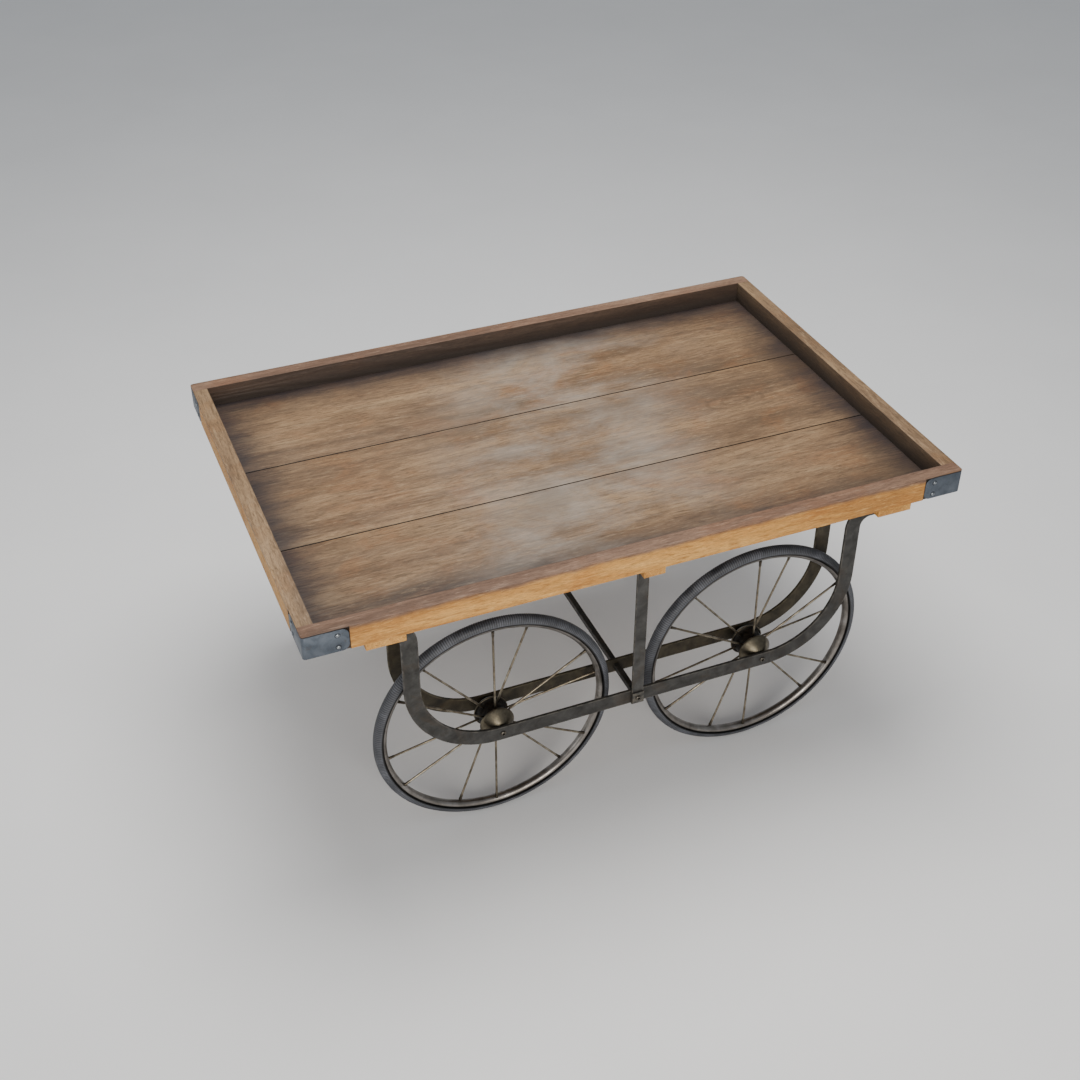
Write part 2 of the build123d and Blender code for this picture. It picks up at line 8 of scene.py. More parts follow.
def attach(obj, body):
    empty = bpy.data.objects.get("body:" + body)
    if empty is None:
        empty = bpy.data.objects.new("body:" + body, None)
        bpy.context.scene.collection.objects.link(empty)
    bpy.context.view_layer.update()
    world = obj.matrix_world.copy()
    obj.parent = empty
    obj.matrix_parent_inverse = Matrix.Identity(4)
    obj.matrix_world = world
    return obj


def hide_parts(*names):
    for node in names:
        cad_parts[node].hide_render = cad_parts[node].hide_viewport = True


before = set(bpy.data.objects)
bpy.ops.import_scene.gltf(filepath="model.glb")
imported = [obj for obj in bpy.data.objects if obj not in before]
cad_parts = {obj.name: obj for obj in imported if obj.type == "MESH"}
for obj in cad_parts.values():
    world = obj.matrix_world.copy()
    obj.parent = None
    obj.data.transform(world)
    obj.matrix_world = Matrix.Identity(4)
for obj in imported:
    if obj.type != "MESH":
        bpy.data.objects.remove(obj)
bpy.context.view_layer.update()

# ------------------------------------------------------------------ deck planks
# Three broad softwood boards laid lengthwise, 12 mm thick, screwed down to the crossbeams.
# Planed once, since worn grey in the middle and left dark along the walls with dirt and painted shade.


def softened_copy(node, width, wanted):
    """Copy of a sawn CAD board with its chosen sharp edges rounded over."""
    board = bmesh.new()
    board.from_mesh(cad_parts[node].data)
    bmesh.ops.remove_doubles(board, verts=board.verts, dist=1e-6)
    bmesh.ops.dissolve_limit(board, angle_limit=radians(1.0), verts=board.verts, edges=board.edges)
    sharp = []
    for edge in board.edges:
        if len(edge.link_faces) == 2 and edge.calc_face_angle() > radians(35) and wanted(edge):
            sharp.append(edge)
    bmesh.ops.bevel(
        board, geom=sharp, offset=width, offset_type="OFFSET", affect="EDGES", segments=3,
        profile=0.5, material=-1, clamp_overlap=True,
    )
    return board


def finish_piece(shape, name, finish, body, nodes, crease=40.0):
    """Turn a bmesh into a named piece that rides on its body and stands for its CAD nodes."""
    bmesh.ops.recalc_face_normals(shape, faces=shape.faces)
    mesh = bpy.data.meshes.new(name)
    shape.to_mesh(mesh)
    shape.free()
    mesh.shade_smooth()
    mesh.set_sharp_from_angle(angle=radians(crease))
    mesh.materials.append(finish)
    piece = bpy.data.objects.new(name, mesh)
    bpy.context.scene.collection.objects.link(piece)
    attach(piece, body)
    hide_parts(*nodes)
    return piece


def add_node(tree, kind, sockets=None, **settings):
    """One shader node; sockets maps an input to a value or to another node's output."""
    made = tree.nodes.new("ShaderNode" + kind)
    for key, value in settings.items():
        setattr(made, key, value)
    for key, value in (sockets or {}).items():
        if isinstance(value, bpy.types.NodeSocket):
            tree.links.new(value, made.inputs[key])
        else:
            made.inputs[key].default_value = value
    return made


def new_finish(name, metallic, specular=0.5):
    """Empty material with its shader; returns the material, its tree, the shader and object places."""
    finish = bpy.data.materials.new(name)
    finish.use_nodes = True
    tree = finish.node_tree
    shader = tree.nodes["Principled BSDF"]
    shader.inputs["Metallic"].default_value = metallic
    shader.inputs["Specular IOR Level"].default_value = specular
    place = add_node(tree, "TexCoord").outputs["Object"]
    return finish, tree, shader, place


def calc(tree, kind, first, second=0.0, third=0.0):
    """Result of one sum on numbers or node outputs."""
    return add_node(tree, "Math", {0: first, 1: second, 2: third}, operation=kind).outputs[0]


def blotch(tree, place, scale, stretch=(1, 1, 1), shift=(0, 0, 0), detail=4.0, rough=0.55, warp=0.0):
    """Noise spread over the piece, stretched by the given scales along X, Y and Z."""
    spread = add_node(tree, "Mapping", {"Vector": place, "Location": shift, "Scale": stretch}).outputs[0]
    made = add_node(
        tree, "TexNoise",
        {"Vector": spread, "Scale": scale, "Detail": detail, "Roughness": rough, "Distortion": warp},
    )
    return made.outputs[0]


def fade(tree, value, low, high, start=0.0, end=1.0):
    """Value taken from low..high to start..end, eased and held at both ends."""
    made = add_node(
        tree, "MapRange", {0: value, 1: low, 2: high, 3: start, 4: end}, interpolation_type="SMOOTHSTEP"
    )
    return made.outputs[0]


def tint(tree, amount, under, over, way="MIX"):
    """Lay one colour over another by an amount from 0 to 1."""
    made = add_node(tree, "Mix", {0: amount, 6: under, 7: over}, data_type="RGBA", blend_type=way)
    return made.outputs[2]


def tones(tree, value, stops):
    """Colour ramp; stops is (position, colour) pairs."""
    made = add_node(tree, "ValToRGB", {0: value})
    marks = made.color_ramp.elements
    while len(marks) < len(stops):
        marks.new(0.5)
    for mark, (where, colour) in zip(marks, stops):
        mark.position = where
        mark.color = colour
    return made.outputs[0]


def hue(text):
    """Linear colour from a six-digit screen colour."""
    levels = []
    for k in (0, 2, 4):
        level = int(text[k : k + 2], 16) / 255
        levels.append(level / 12.92 if level <= 0.04045 else ((level + 0.055) / 1.055) ** 2.4)
    return (*levels, 1.0)


def coat(tree, shader, colour, rough):
    """Give the shader its colour and its roughness."""
    tree.links.new(colour, shader.inputs["Base Color"])
    tree.links.new(rough, shader.inputs["Roughness"])


def emboss(tree, shader, height, strength, distance):
    """Fine relief in the surface, from a height value."""
    made = add_node(tree, "Bump", {"Strength": strength, "Distance": distance, "Height": height})
    tree.links.new(made.outputs[0], shader.inputs["Normal"])


def timber_grain(tree, place, along, shift):
    """Grey values of sawn timber: broad streaks, growth lines, dark pores and fine fibre."""
    slim = (0.14, 1, 1) if along == 0 else (1, 0.14, 1)
    long = (0.12, 1, 1) if along == 0 else (1, 0.12, 1)
    fine = (0.16, 1, 1) if along == 0 else (1, 0.16, 1)
    broad = blotch(tree, place, 9.0, slim, shift, detail=5.0, rough=0.6, warp=0.6)
    growth = blotch(tree, place, 4.2, slim, shift, 2.0, 0.4, 0.5)
    rings = calc(tree, "SINE", calc(tree, "MULTIPLY", growth, 95.0))
    pores = blotch(tree, place, 150.0, long, shift, 6.0, 0.72, 0.6)
    fibre = blotch(tree, place, 460.0, fine, shift, 4.0, 0.75, 0.3)
    return broad, rings, pores, fibre


def timber_colour(tree, place, grain, shades, patch_shift):
    """Timber tone with its streaks, growth lines, pores and a few redder and paler patches."""
    broad, rings, pores, fibre = grain
    colour = tones(tree, broad, [(0.30, shades[0]), (0.47, shades[1]), (0.60, shades[2]), (0.76, shades[3])])
    patches = blotch(tree, place, 7.0, (0.6, 1, 1), patch_shift, 6.0, 0.62, 0.8)
    colour = tint(tree, fade(tree, patches, 0.48, 0.66, 0.0, 0.45), colour, shades[4])
    colour = tint(tree, fade(tree, rings, 0.50, 1.0, 0.0, 0.30), colour, shades[0])
    colour = tint(tree, fade(tree, pores, 0.51, 0.64, 0.0, 0.72), colour, shades[0])
    colour = tint(tree, fade(tree, pores, 0.47, 0.36, 0.0, 0.48), colour, shades[3])
    flecks = [(0.30, (0.52, 0.50, 0.48, 1)), (0.5, (0.98, 0.98, 0.98, 1)), (0.7, (1.35, 1.34, 1.32, 1))]
    fleck = tones(tree, fibre, flecks)
    return tint(tree, 0.75, colour, fleck, "MULTIPLY")


def timber_surface(tree, shader, colour, grain):
    """Colour, roughness and relief of worn timber."""
    _, rings, pores, fibre = grain
    coat(tree, shader, colour, fade(tree, pores, 0.3, 0.75, 0.50, 0.78))
    height = calc(tree, "MULTIPLY_ADD", pores, -0.9, calc(tree, "MULTIPLY_ADD", fibre, 0.5, rings))
    emboss(tree, shader, height, 0.35, 0.0007)


deck_wall_x = 0.8585
deck_wall_y = 0.5655
deck_shades = [hue("57432f"), hue("775c42"), hue("8f7253"), hue("a18766"), hue("835832")]
deck_grey = hue("9d968d")
deck_dirt_and_shade = hue("252228")
seam_y = 0.18884
knot = (0.560, 0.018, 0.821)


def deck_finish(name, shift):
    """Worn plank: timber, grey scuffs in the middle of the deck, dirt and painted shade against the walls."""
    finish, tree, shader, place = new_finish(name, 0.0, 0.35)
    grain = timber_grain(tree, place, 0, shift)
    colour = timber_colour(tree, place, grain, deck_shades, shift)
    x, y, _ = add_node(tree, "SeparateXYZ", {0: place}).outputs
    worn_line = calc(tree, "MULTIPLY_ADD", y, 0.28, 0.04)
    reach = calc(tree, "ABSOLUTE", calc(tree, "SUBTRACT", x, worn_line))
    scuffs = blotch(tree, place, 5.0, (0.6, 1, 1), (3.1, 0.4, 0.0), 9.0, 0.68, 0.3)
    middle = fade(tree, reach, 0.52, 0.05, 0.08, 1.0)
    scuffs = calc(tree, "MULTIPLY", fade(tree, scuffs, 0.32, 0.74, 0.0, 0.80), middle)
    colour = tint(tree, scuffs, colour, deck_grey)
    # Dirt and painted shade: a dark, ragged band along the walls, darkest at the walls.
    from_end = calc(tree, "SUBTRACT", deck_wall_x, calc(tree, "ABSOLUTE", x))
    from_side = calc(tree, "SUBTRACT", deck_wall_y, calc(tree, "ABSOLUTE", y))
    nearest = calc(tree, "SMOOTH_MIN", from_end, from_side, 0.08)
    ragged = calc(tree, "MULTIPLY_ADD", blotch(tree, place, 14.0, (0.7, 1, 1), (0, 5, 0), 5.0), -0.10, 0.05)
    dirt_and_shade_band = fade(tree, calc(tree, "ADD", nearest, ragged), 0.16, -0.020, 0.0, 0.90)
    colour = tint(tree, dirt_and_shade_band, colour, deck_dirt_and_shade)
    # Painted shade: the plank edges darken to near black beside the two seams.
    from_seam = calc(tree, "SUBTRACT", calc(tree, "ABSOLUTE", y), seam_y)
    from_seam = calc(tree, "ABSOLUTE", calc(tree, "MULTIPLY_ADD", y, -0.002, from_seam))
    colour = tint(tree, fade(tree, from_seam, 0.0032, 0.0012, 0.0, 0.92), colour, hue("0e0b09"))
    from_knot = add_node(tree, "VectorMath", {0: place, 1: knot}, operation="SUBTRACT").outputs[0]
    knot_shape = {0: from_knot, 1: (0.42, 1.0, 1.0)}
    from_knot = add_node(tree, "VectorMath", knot_shape, operation="MULTIPLY").outputs[0]
    from_knot = add_node(tree, "VectorMath", {0: from_knot}, operation="LENGTH").outputs["Value"]
    even_rings = calc(tree, "MULTIPLY", from_knot, 340.0)
    wavy = calc(tree, "MULTIPLY_ADD", blotch(tree, place, 11.0, (0.5, 1, 1), shift, 3.0), 3.5, even_rings)
    knot_fade = fade(tree, from_knot, 0.062, 0.030, 0.0, 0.42)
    ringed = calc(tree, "MULTIPLY", fade(tree, calc(tree, "SINE", wavy), 0.2, 1.0), knot_fade)
    colour = tint(tree, ringed, colour, deck_shades[0])
    smudge = blotch(tree, place, 3.4, (0.5, 1, 1), (7, 2, 1), 6.0, 0.6, 0.6)
    colour = tint(tree, fade(tree, smudge, 0.52, 0.72, 0.0, 0.38), colour, deck_shades[0])
    timber_surface(tree, shader, colour, grain)
    return finish


plank_shifts = {"left": (0.3, 4.0, 0.0), "middle": (2.7, 1.3, 0.5), "right": (5.2, 7.1, 0.2)}
for side, shift in plank_shifts.items():
    plank = softened_copy(
        f"deck_plank_{side}", 0.0008, lambda edge: edge.calc_length() > 0.05 and edge.verts[0].co.z > 0.8205
    )
    timber = deck_finish(f"deck_board_{side}", shift)
    finish_piece(plank, f"plank_{side}", timber, "cart_frame", [f"deck_plank_{side}"])

# ------------------------------------------------------------------ painted shade in the seams
# A dark, crumbly fill laid in the two 2 mm gaps between the planks, a few millimetres down.
# It is painted shade, not part of the cart: it keeps the light from showing through the gaps.
seam_half = 0.00098
seam_end = 0.8570
heap_height = 0.0009
fill_low, fill_line = 0.8100, 0.8146
gap_fill_finish, tree, shader, place = new_finish("seam_dirt_caked", 0.0, 0.2)
fill_speckle = blotch(tree, place, 320.0, (0.5, 1, 1), (0, 0, 0), 5.0, 0.7)
colour = tones(tree, fill_speckle, [(0.32, hue("0f0c0a")), (0.68, hue("2a221b"))])
tree.links.new(colour, shader.inputs["Base Color"])
shader.inputs["Roughness"].default_value = 0.95
emboss(tree, shader, fill_speckle, 0.6, 0.0008)
for seam_name, way in (("far", 1), ("near", -1)):
    gap_fill = bmesh.new()
    bmesh.ops.create_grid(gap_fill, x_segments=240, y_segments=2, size=1.0)
    bmesh.ops.scale(gap_fill, vec=(seam_end, seam_half, 1), verts=gap_fill.verts)
    for vert in gap_fill.verts:
        heap = sin(vert.co.x * 37 + way) + 0.6 * sin(vert.co.x * 91 + 2) + 0.4 * sin(vert.co.x * 233 - way)
        vert.co.z = heap_height * heap
    skirt = bmesh.ops.extrude_edge_only(gap_fill, edges=[e for e in gap_fill.edges if e.is_boundary])["geom"]
    for vert in (g for g in skirt if isinstance(g, bmesh.types.BMVert)):
        vert.co.z = fill_low - fill_line
    bottom = [e for e in gap_fill.edges if e.is_boundary]
    bmesh.ops.contextual_create(gap_fill, geom=bottom)
    bmesh.ops.translate(gap_fill, vec=(0, way * seam_y, fill_line), verts=gap_fill.verts)
    mesh = bpy.data.meshes.new(f"seam_dirt_{seam_name}")
    bmesh.ops.recalc_face_normals(gap_fill, faces=gap_fill.faces)
    gap_fill.to_mesh(mesh)
    gap_fill.free()
    mesh.materials.append(gap_fill_finish)
    fill_object = bpy.data.objects.new(f"seam_dirt_{seam_name}", mesh)
    bpy.context.scene.collection.objects.link(fill_object)
    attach(fill_object, "cart_frame")

# ------------------------------------------------------------------ rim boards
# Four boards on edge round the deck, 41.5 by 67 mm, the side ones running through at the corners.
# Tops handled mauve-brown, outer faces still orange, inner faces stained by what the cart carried and
# darkened with painted shade towards the deck.
rim_shades = [hue("5c4536"), hue("765a48"), hue("896c57"), hue("997d67"), hue("7c5438")]
end_shades = [hue("5e4a35"), hue("7b6248"), hue("917657"), hue("a48969"), hue("845f3b")]
rim_fresh = [hue("94622f"), hue("b4803f"), hue("c8954f"), hue("d8ab68"), hue("a86726")]
rim_stain_and_shade = hue("332d29")
pocket_reach = 0.1150
rim_top = 0.881
rim_outer = (0.9, 0.607)


def rim_finish(name, along, shades, shift):
    """Rim board: fresh timber on its outer faces, handled top, inner face stained and darkened with painted
    shade towards the deck, painted shadow round the bracket pockets, pale worn edges.
    """
    finish, tree, shader, place = new_finish(name, 0.0, 0.35)
    grain = timber_grain(tree, place, along, shift)
    worn = timber_colour(tree, place, grain, shades, shift)
    fresh = timber_colour(tree, place, grain, rim_fresh, shift)
    x, y, z = add_node(tree, "SeparateXYZ", {0: place}).outputs
    past_end = calc(tree, "SUBTRACT", calc(tree, "ABSOLUTE", x), rim_outer[0])
    past_side = calc(tree, "SUBTRACT", calc(tree, "ABSOLUTE", y), rim_outer[1])
    outer = calc(tree, "MAXIMUM", past_end, past_side)
    uneven = blotch(tree, place, 16.0, (0.4, 0.4, 1), shift, 6.0, 0.65)
    below_top = calc(tree, "MULTIPLY_ADD", uneven, 0.030, calc(tree, "SUBTRACT", rim_top - 0.015, z))
    outer_face = fade(tree, outer, -0.006, -0.0010)
    unhandled = calc(tree, "MULTIPLY", outer_face, fade(tree, below_top, -0.002, 0.014))
    colour = tint(tree, unhandled, worn, fresh)
    inner_end = calc(tree, "SUBTRACT", calc(tree, "ABSOLUTE", x), deck_wall_x)
    inner_side = calc(tree, "SUBTRACT", calc(tree, "ABSOLUTE", y), deck_wall_y)
    inner = calc(tree, "MAXIMUM", inner_end, inner_side)
    inner_face = fade(tree, inner, 0.0022, 0.0004)
    # Inner faces: stain and painted shade, darker towards the deck.
    stained_and_shaded = calc(tree, "MULTIPLY", inner_face, fade(tree, z, 0.884, 0.824, 0.66, 0.93))
    colour = tint(tree, stained_and_shaded, colour, rim_stain_and_shade)
    # Painted shadow: a dark line in the gap round each let-in bracket, on the pocket walls and along its
    # edge.
    by_corner = calc(tree, "MINIMUM", past_end, past_side)
    in_pocket = calc(tree, "ADD", by_corner, pocket_reach)
    sunk = calc(tree, "MINIMUM", in_pocket, calc(tree, "SUBTRACT", rim_top - 0.0016, z))
    sunk = fade(tree, sunk, -0.0022, 0.0004, 0.0, 0.9)
    sunk = calc(tree, "MULTIPLY", sunk, fade(tree, outer, -0.008, -0.005))
    lip = fade(tree, in_pocket, -0.0022, 0.0004, 0.0, 0.85)
    lip = calc(tree, "MULTIPLY", lip, fade(tree, outer, -0.0012, -0.0004))
    colour = tint(tree, calc(tree, "MAXIMUM", sunk, lip), colour, hue("15110e"))
    timber_surface(tree, shader, colour, grain)
    return finish


def rim_edge(edge):
    """Chosen for rounding: every long edge, and the short ones on top."""
    first, second = (v.co for v in edge.verts)
    return edge.calc_length() > 0.02 or min(first.z, second.z) > rim_top - 1e-5


rim_runs = {
    "left": (0, rim_shades, (1.1, 3.0, 2.0)),
    "right": (0, rim_shades, (6.3, 0.2, 4.0)),
    "front": (1, end_shades, (2.0, 5.0, 1.0)),
    "rear": (1, end_shades, (8.0, 2.2, 3.0)),
}
for side, (along, shades, shift) in rim_runs.items():
    board = softened_copy(f"rim_board_{side}", 0.0014, rim_edge)
    timber = rim_finish(f"rim_timber_{side}", along, shades, shift)
    finish_piece(board, f"rim_{side}", timber, "cart_frame", [f"rim_board_{side}"])

# ------------------------------------------------------------------ crossbeams
# Three flat beams under the deck, 20 mm thick and as long as the tray is wide, trenched for the planks.
# Their end grain shows under the rim; they carry the bent bars.


def beam_finish(name, shift):
    """Beam timber: orange at its ends, dulled underneath."""
    finish, tree, shader, place = new_finish(name, 0.0, 0.35)
    grain = timber_grain(tree, place, 1, shift)
    dull = timber_colour(tree, place, grain, rim_shades, shift)
    fresh = timber_colour(tree, place, grain, rim_fresh, shift)
    from_middle = calc(tree, "ABSOLUTE", add_node(tree, "SeparateXYZ", {0: place}).outputs["Y"])
    out = calc(tree, "MULTIPLY_ADD", blotch(tree, place, 18.0, (1, 1, 1), shift), 0.05, from_middle)
    colour = tint(tree, fade(tree, out, 0.53, 0.62), dull, fresh)
    timber_surface(tree, shader, colour, grain)
    return finish


beam_shifts = {"front": (1.0, 2.0, 3.0), "middle": (4.0, 5.5, 0.0), "rear": (7.0, 0.4, 6.0)}
for which, shift in beam_shifts.items():
    beam = softened_copy(f"crossbeam_{which}", 0.0015, lambda edge: edge.calc_length() > 0.019)
    timber = beam_finish(f"beam_timber_{which}", shift)
    finish_piece(beam, f"beam_{which}", timber, "cart_frame", [f"crossbeam_{which}"])

# ------------------------------------------------------------------ corner brackets
# Four pieces of 3 mm steel strip bent round the corners and let in flush with the boards.
# Their leg ends are cut to 18 mm corners; the plating has gone dull blue-grey and spotted.
bracket_leg = 0.1135
bracket_thick = 0.003
bracket_bend = 0.009
bracket_low, bracket_high = 0.814, 0.878
bracket_corner = 0.018
bracket_burr = 0.0004
ends = (("front", 1), ("rear", -1))
sides = (("left", 1), ("right", -1))


def plated_finish(name, pale, mid, dark, rust):
    """Dull plated steel with cloudy patches, small dark pits and a little rust."""
    finish, tree, shader, place = new_finish(name, 0.85)
    clouds = blotch(tree, place, 38.0, (1, 1, 1), (0, 0, 0), 6.0, 0.62, 0.5)
    pits = blotch(tree, place, 420.0, (1, 1, 1), (0, 0, 0), 3.0, 0.6)
    colour = tones(tree, clouds, [(0.34, dark), (0.5, mid), (0.68, pale)])
    colour = tint(tree, fade(tree, pits, 0.62, 0.72, 0.0, 0.6), colour, dark)
    spots = fade(tree, blotch(tree, place, 65.0, (1, 1, 1), (4, 4, 4), 5.0, 0.65), 0.60, 0.74, 0.0, 0.35)
    colour = tint(tree, spots, colour, rust)
    coat(tree, shader, colour, fade(tree, clouds, 0.3, 0.7, 0.56, 0.46))
    emboss(tree, shader, pits, 0.25, 0.0003)
    return finish


screw_low, screw_high = 0.8275, 0.8625
screw_back = 0.086
bracket_finish = plated_finish(
    "bracket_plating", hue("626972"), hue("596069"), hue("4d545d"), hue("4c433a")
)
tree = bracket_finish.node_tree
shader = tree.nodes["Principled BSDF"]
plain = shader.inputs["Base Color"].links[0].from_socket
# Round each screw the plating darkens in a ring: grime at the screw's base and painted shade under its head.
x, y, z = add_node(tree, "SeparateXYZ", {0: add_node(tree, "TexCoord").outputs["Object"]}).outputs
from_end = calc(tree, "SUBTRACT", calc(tree, "ABSOLUTE", x), rim_outer[0] - screw_back)
from_side = calc(tree, "SUBTRACT", calc(tree, "ABSOLUTE", y), rim_outer[1] - screw_back)
beside = calc(tree, "MINIMUM", calc(tree, "ABSOLUTE", from_end), calc(tree, "ABSOLUTE", from_side))
middle_z = (screw_low + screw_high) / 2
from_middle = calc(tree, "ABSOLUTE", calc(tree, "SUBTRACT", z, middle_z))
above = calc(tree, "SUBTRACT", from_middle, screw_high - middle_z)
away = calc(tree, "SQRT", calc(tree, "MULTIPLY_ADD", above, above, calc(tree, "MULTIPLY", beside, beside)))
ringed = fade(tree, away, 0.0085, 0.0058, 0.0, 0.75)
tree.links.new(tint(tree, ringed, plain, hue("23262a")), shader.inputs["Base Color"])
for end_name, end in ends:
    for side_name, side in sides:
        strip = bmesh.new()
        bmesh.ops.create_cube(strip, size=1.0)
        run = bracket_leg - bracket_bend
        tall = bracket_high - bracket_low
        bmesh.ops.scale(strip, vec=(run, bracket_thick, tall), verts=strip.verts)
        middle = Vector((-run / 2, -bracket_thick / 2, tall / 2))
        bmesh.ops.translate(strip, vec=middle, verts=strip.verts)
        root = [f for f in strip.faces if f.normal.x > 0.9]
        at_tip = [e for e in strip.edges if all(v.co.x < -run + 1e-6 for v in e.verts)]
        tip = [e for e in at_tip if abs(e.verts[0].co.y - e.verts[1].co.y) > 1e-4]
        ring = root[0].edges[:]
        bmesh.ops.delete(strip, geom=root, context="FACES_ONLY")
        bent = bmesh.ops.spin(
            strip, geom=ring, cent=(0, -bracket_bend, 0), axis=(0, 0, -1), dvec=(0, 0, 0), angle=pi / 2,
            steps=10, use_merge=False, use_normal_flip=False, use_duplicate=False,
        )
        last = [g for g in bent["geom_last"] if isinstance(g, bmesh.types.BMEdge)]
        leg = bmesh.ops.extrude_edge_only(strip, edges=last)["geom"]
        moved = [g for g in leg if isinstance(g, bmesh.types.BMVert)]
        bmesh.ops.translate(strip, vec=(0, -run, 0), verts=moved)
        closing = [g for g in leg if isinstance(g, bmesh.types.BMEdge) and all(v in moved for v in g.verts)]
        bmesh.ops.contextual_create(strip, geom=closing)
        tip += [e for e in closing if abs(e.verts[0].co.x - e.verts[1].co.x) > 1e-4]
        bmesh.ops.bevel(
            strip, geom=tip, offset=bracket_corner, offset_type="OFFSET", affect="EDGES", segments=10,
            profile=0.5, material=-1, clamp_overlap=True,
        )
        rims = [e for e in strip.edges if len(e.link_faces) == 2 and e.calc_face_angle() > radians(60)]
        bmesh.ops.bevel(
            strip, geom=rims, offset=bracket_burr, offset_type="OFFSET", affect="EDGES", segments=2,
            profile=0.5, material=-1, clamp_overlap=True,
        )
        # the bend's outer corner goes to the rim's corner
        bmesh.ops.translate(strip, vec=(-bracket_bend, 0, 0), verts=strip.verts)
        bmesh.ops.scale(strip, vec=(end, side, 1), verts=strip.verts)
        at_corner = (end * rim_outer[0], side * rim_outer[1], bracket_low)
        bmesh.ops.translate(strip, vec=at_corner, verts=strip.verts)
        corner = f"{end_name}_{side_name}"
        finish_piece(
            strip, f"bracket_{corner}", bracket_finish, "cart_frame",
            [f"corner_bracket_{corner}"],
        )

# ------------------------------------------------------------------ bracket screws
# Sixteen slotted round-head wood screws, 11 mm heads, two through each bracket leg.
# Turned steel, brighter than the brackets where the screwdriver and hands have rubbed them.
screw_head = 0.0055
screw_rise = 0.0032
screw_slot = 0.0011
screw_slot_depth = 0.0012
screw_flank = 0.0005
screw_shank = 0.004


def rubbed_finish(name, bright, dark, gloss):
    """Bare steel, bright where rubbed and dark in its cloudy patches."""
    finish, tree, shader, place = new_finish(name, 0.95)
    clouds = blotch(tree, place, 240.0, (1, 1, 1), (0, 0, 0), 4.0, 0.6)
    colour = tones(tree, clouds, [(0.36, dark), (0.62, bright)])
    coat(tree, shader, colour, fade(tree, clouds, 0.3, 0.7, gloss + 0.15, gloss))
    emboss(tree, shader, clouds, 0.15, 0.0002)
    return finish


def turned(shape, profile, steps=32):
    """Spin a profile of (radius, height) points round Z into shape; closed where it meets the axis."""
    points = [shape.verts.new((radius, 0, height)) for radius, height in profile]
    line = [shape.edges.new(pair) for pair in zip(points, points[1:])]
    bmesh.ops.spin(
        shape, geom=points + line, cent=(0, 0, 0), axis=(0, 0, 1), dvec=(0, 0, 0), angle=tau, steps=steps,
        use_merge=True, use_normal_flip=False, use_duplicate=False,
    )
    bmesh.ops.remove_doubles(shape, verts=shape.verts, dist=1e-6)


def placed(shape, into, where):
    """Add a copy of shape, carried by the matrix where, to another bmesh."""
    carrier = bpy.data.meshes.new("carrier")
    shape.to_mesh(carrier)
    carrier.transform(where)
    into.from_mesh(carrier)
    bpy.data.meshes.remove(carrier)


def facing(point, outward):
    """Matrix that takes the origin to point and Z to outward."""
    return Matrix.Translation(point) @ Vector(outward).to_track_quat("Z", "Y").to_matrix().to_4x4()


head = bmesh.new()
turned(
    head,
    [(0, -screw_shank), (screw_head * 0.5, -screw_shank), (screw_head * 0.5, 0.0001)]
    + [(screw_head * 0.96, 0.0001), (screw_head, screw_flank)]
    + [(screw_head * cos(a), screw_flank + (screw_rise - screw_flank) * sin(a)) for a in (0.3, 0.6, 0.9, 1.2)]
    + [(0, screw_rise)],
    24,
)
for way in (-1, 1):
    bmesh.ops.bisect_plane(
        head, geom=head.verts[:] + head.edges[:] + head.faces[:], dist=1e-7,
        plane_co=(0, way * screw_slot / 2, 0), plane_no=(0, 1, 0),
    )
slot_faces = []
for face in head.faces:
    middle = face.calc_center_median()
    if face.normal.z > 0.2 and abs(middle.y) < screw_slot / 2 and middle.z > 0.0008:
        slot_faces.append(face)
sunk = bmesh.ops.extrude_face_region(head, geom=slot_faces)["geom"]
sunk = [g for g in sunk if isinstance(g, bmesh.types.BMVert)]
bmesh.ops.translate(head, vec=(0, 0, -screw_slot_depth), verts=sunk)
bmesh.ops.delete(head, geom=slot_faces, context="FACES_ONLY")
screws = bmesh.new()
turns = iter((0.4, 1.9, 2.6, 0.9, 1.3, 2.2, 0.1, 2.9, 0.7, 1.6, 2.4, 0.3, 1.1, 2.0, 2.8, 0.6))
for _, end in ends:
    for _, side in sides:
        for z in (screw_low, screw_high):
            on_side = facing((end * (rim_outer[0] - screw_back), side * rim_outer[1], z), (0, side, 0))
            on_end = facing((end * rim_outer[0], side * (rim_outer[1] - screw_back), z), (end, 0, 0))
            for where in (on_side, on_end):
                placed(head, screws, where @ Matrix.Rotation(next(turns), 4, "Z"))
head.free()
screw_finish = rubbed_finish("screw_steel_rubbed", hue("a0a5aa"), hue("5c6166"), 0.24)
finish_piece(
    screws, "bracket_screw_heads", screw_finish, "cart_frame", ["bracket_screws"], crease=35
)

# ------------------------------------------------------------------ hidden wood screws
# Countersunk screws under the beams and in the angle feet, driven flush.
# Plain steel gone dull, with the sawn slots full of dirt.


def finish_node(node, finish):
    """Give a CAD node that keeps its own mesh its finish."""
    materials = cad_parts[node].data.materials
    materials.clear()
    materials.append(finish)


dull_screws = rubbed_finish("screw_steel_dull", hue("8a8781"), hue("47433f"), 0.42)
for node in ("beam_screws", "foot_screws"):
    finish_node(node, dull_screws)

# ------------------------------------------------------------------ bent flat bars
# Four hot-rolled bars, 44 by 8 mm, bent to a flat-bottomed U with a flare under each end beam.
# Left with their dark mill scale, browned with rust and rubbed bare along the edges.
bar_width = 0.044
bar_thick = 0.008
bar_edge = 0.0013
bar_lip_x, bar_leg_x = 0.735, 0.626
bar_top_z, bar_low_z = 0.772, 0.3355
bar_bend, bar_flare = 0.228, 0.050
outer_bar_y, inner_bar_y = 0.537, 0.405


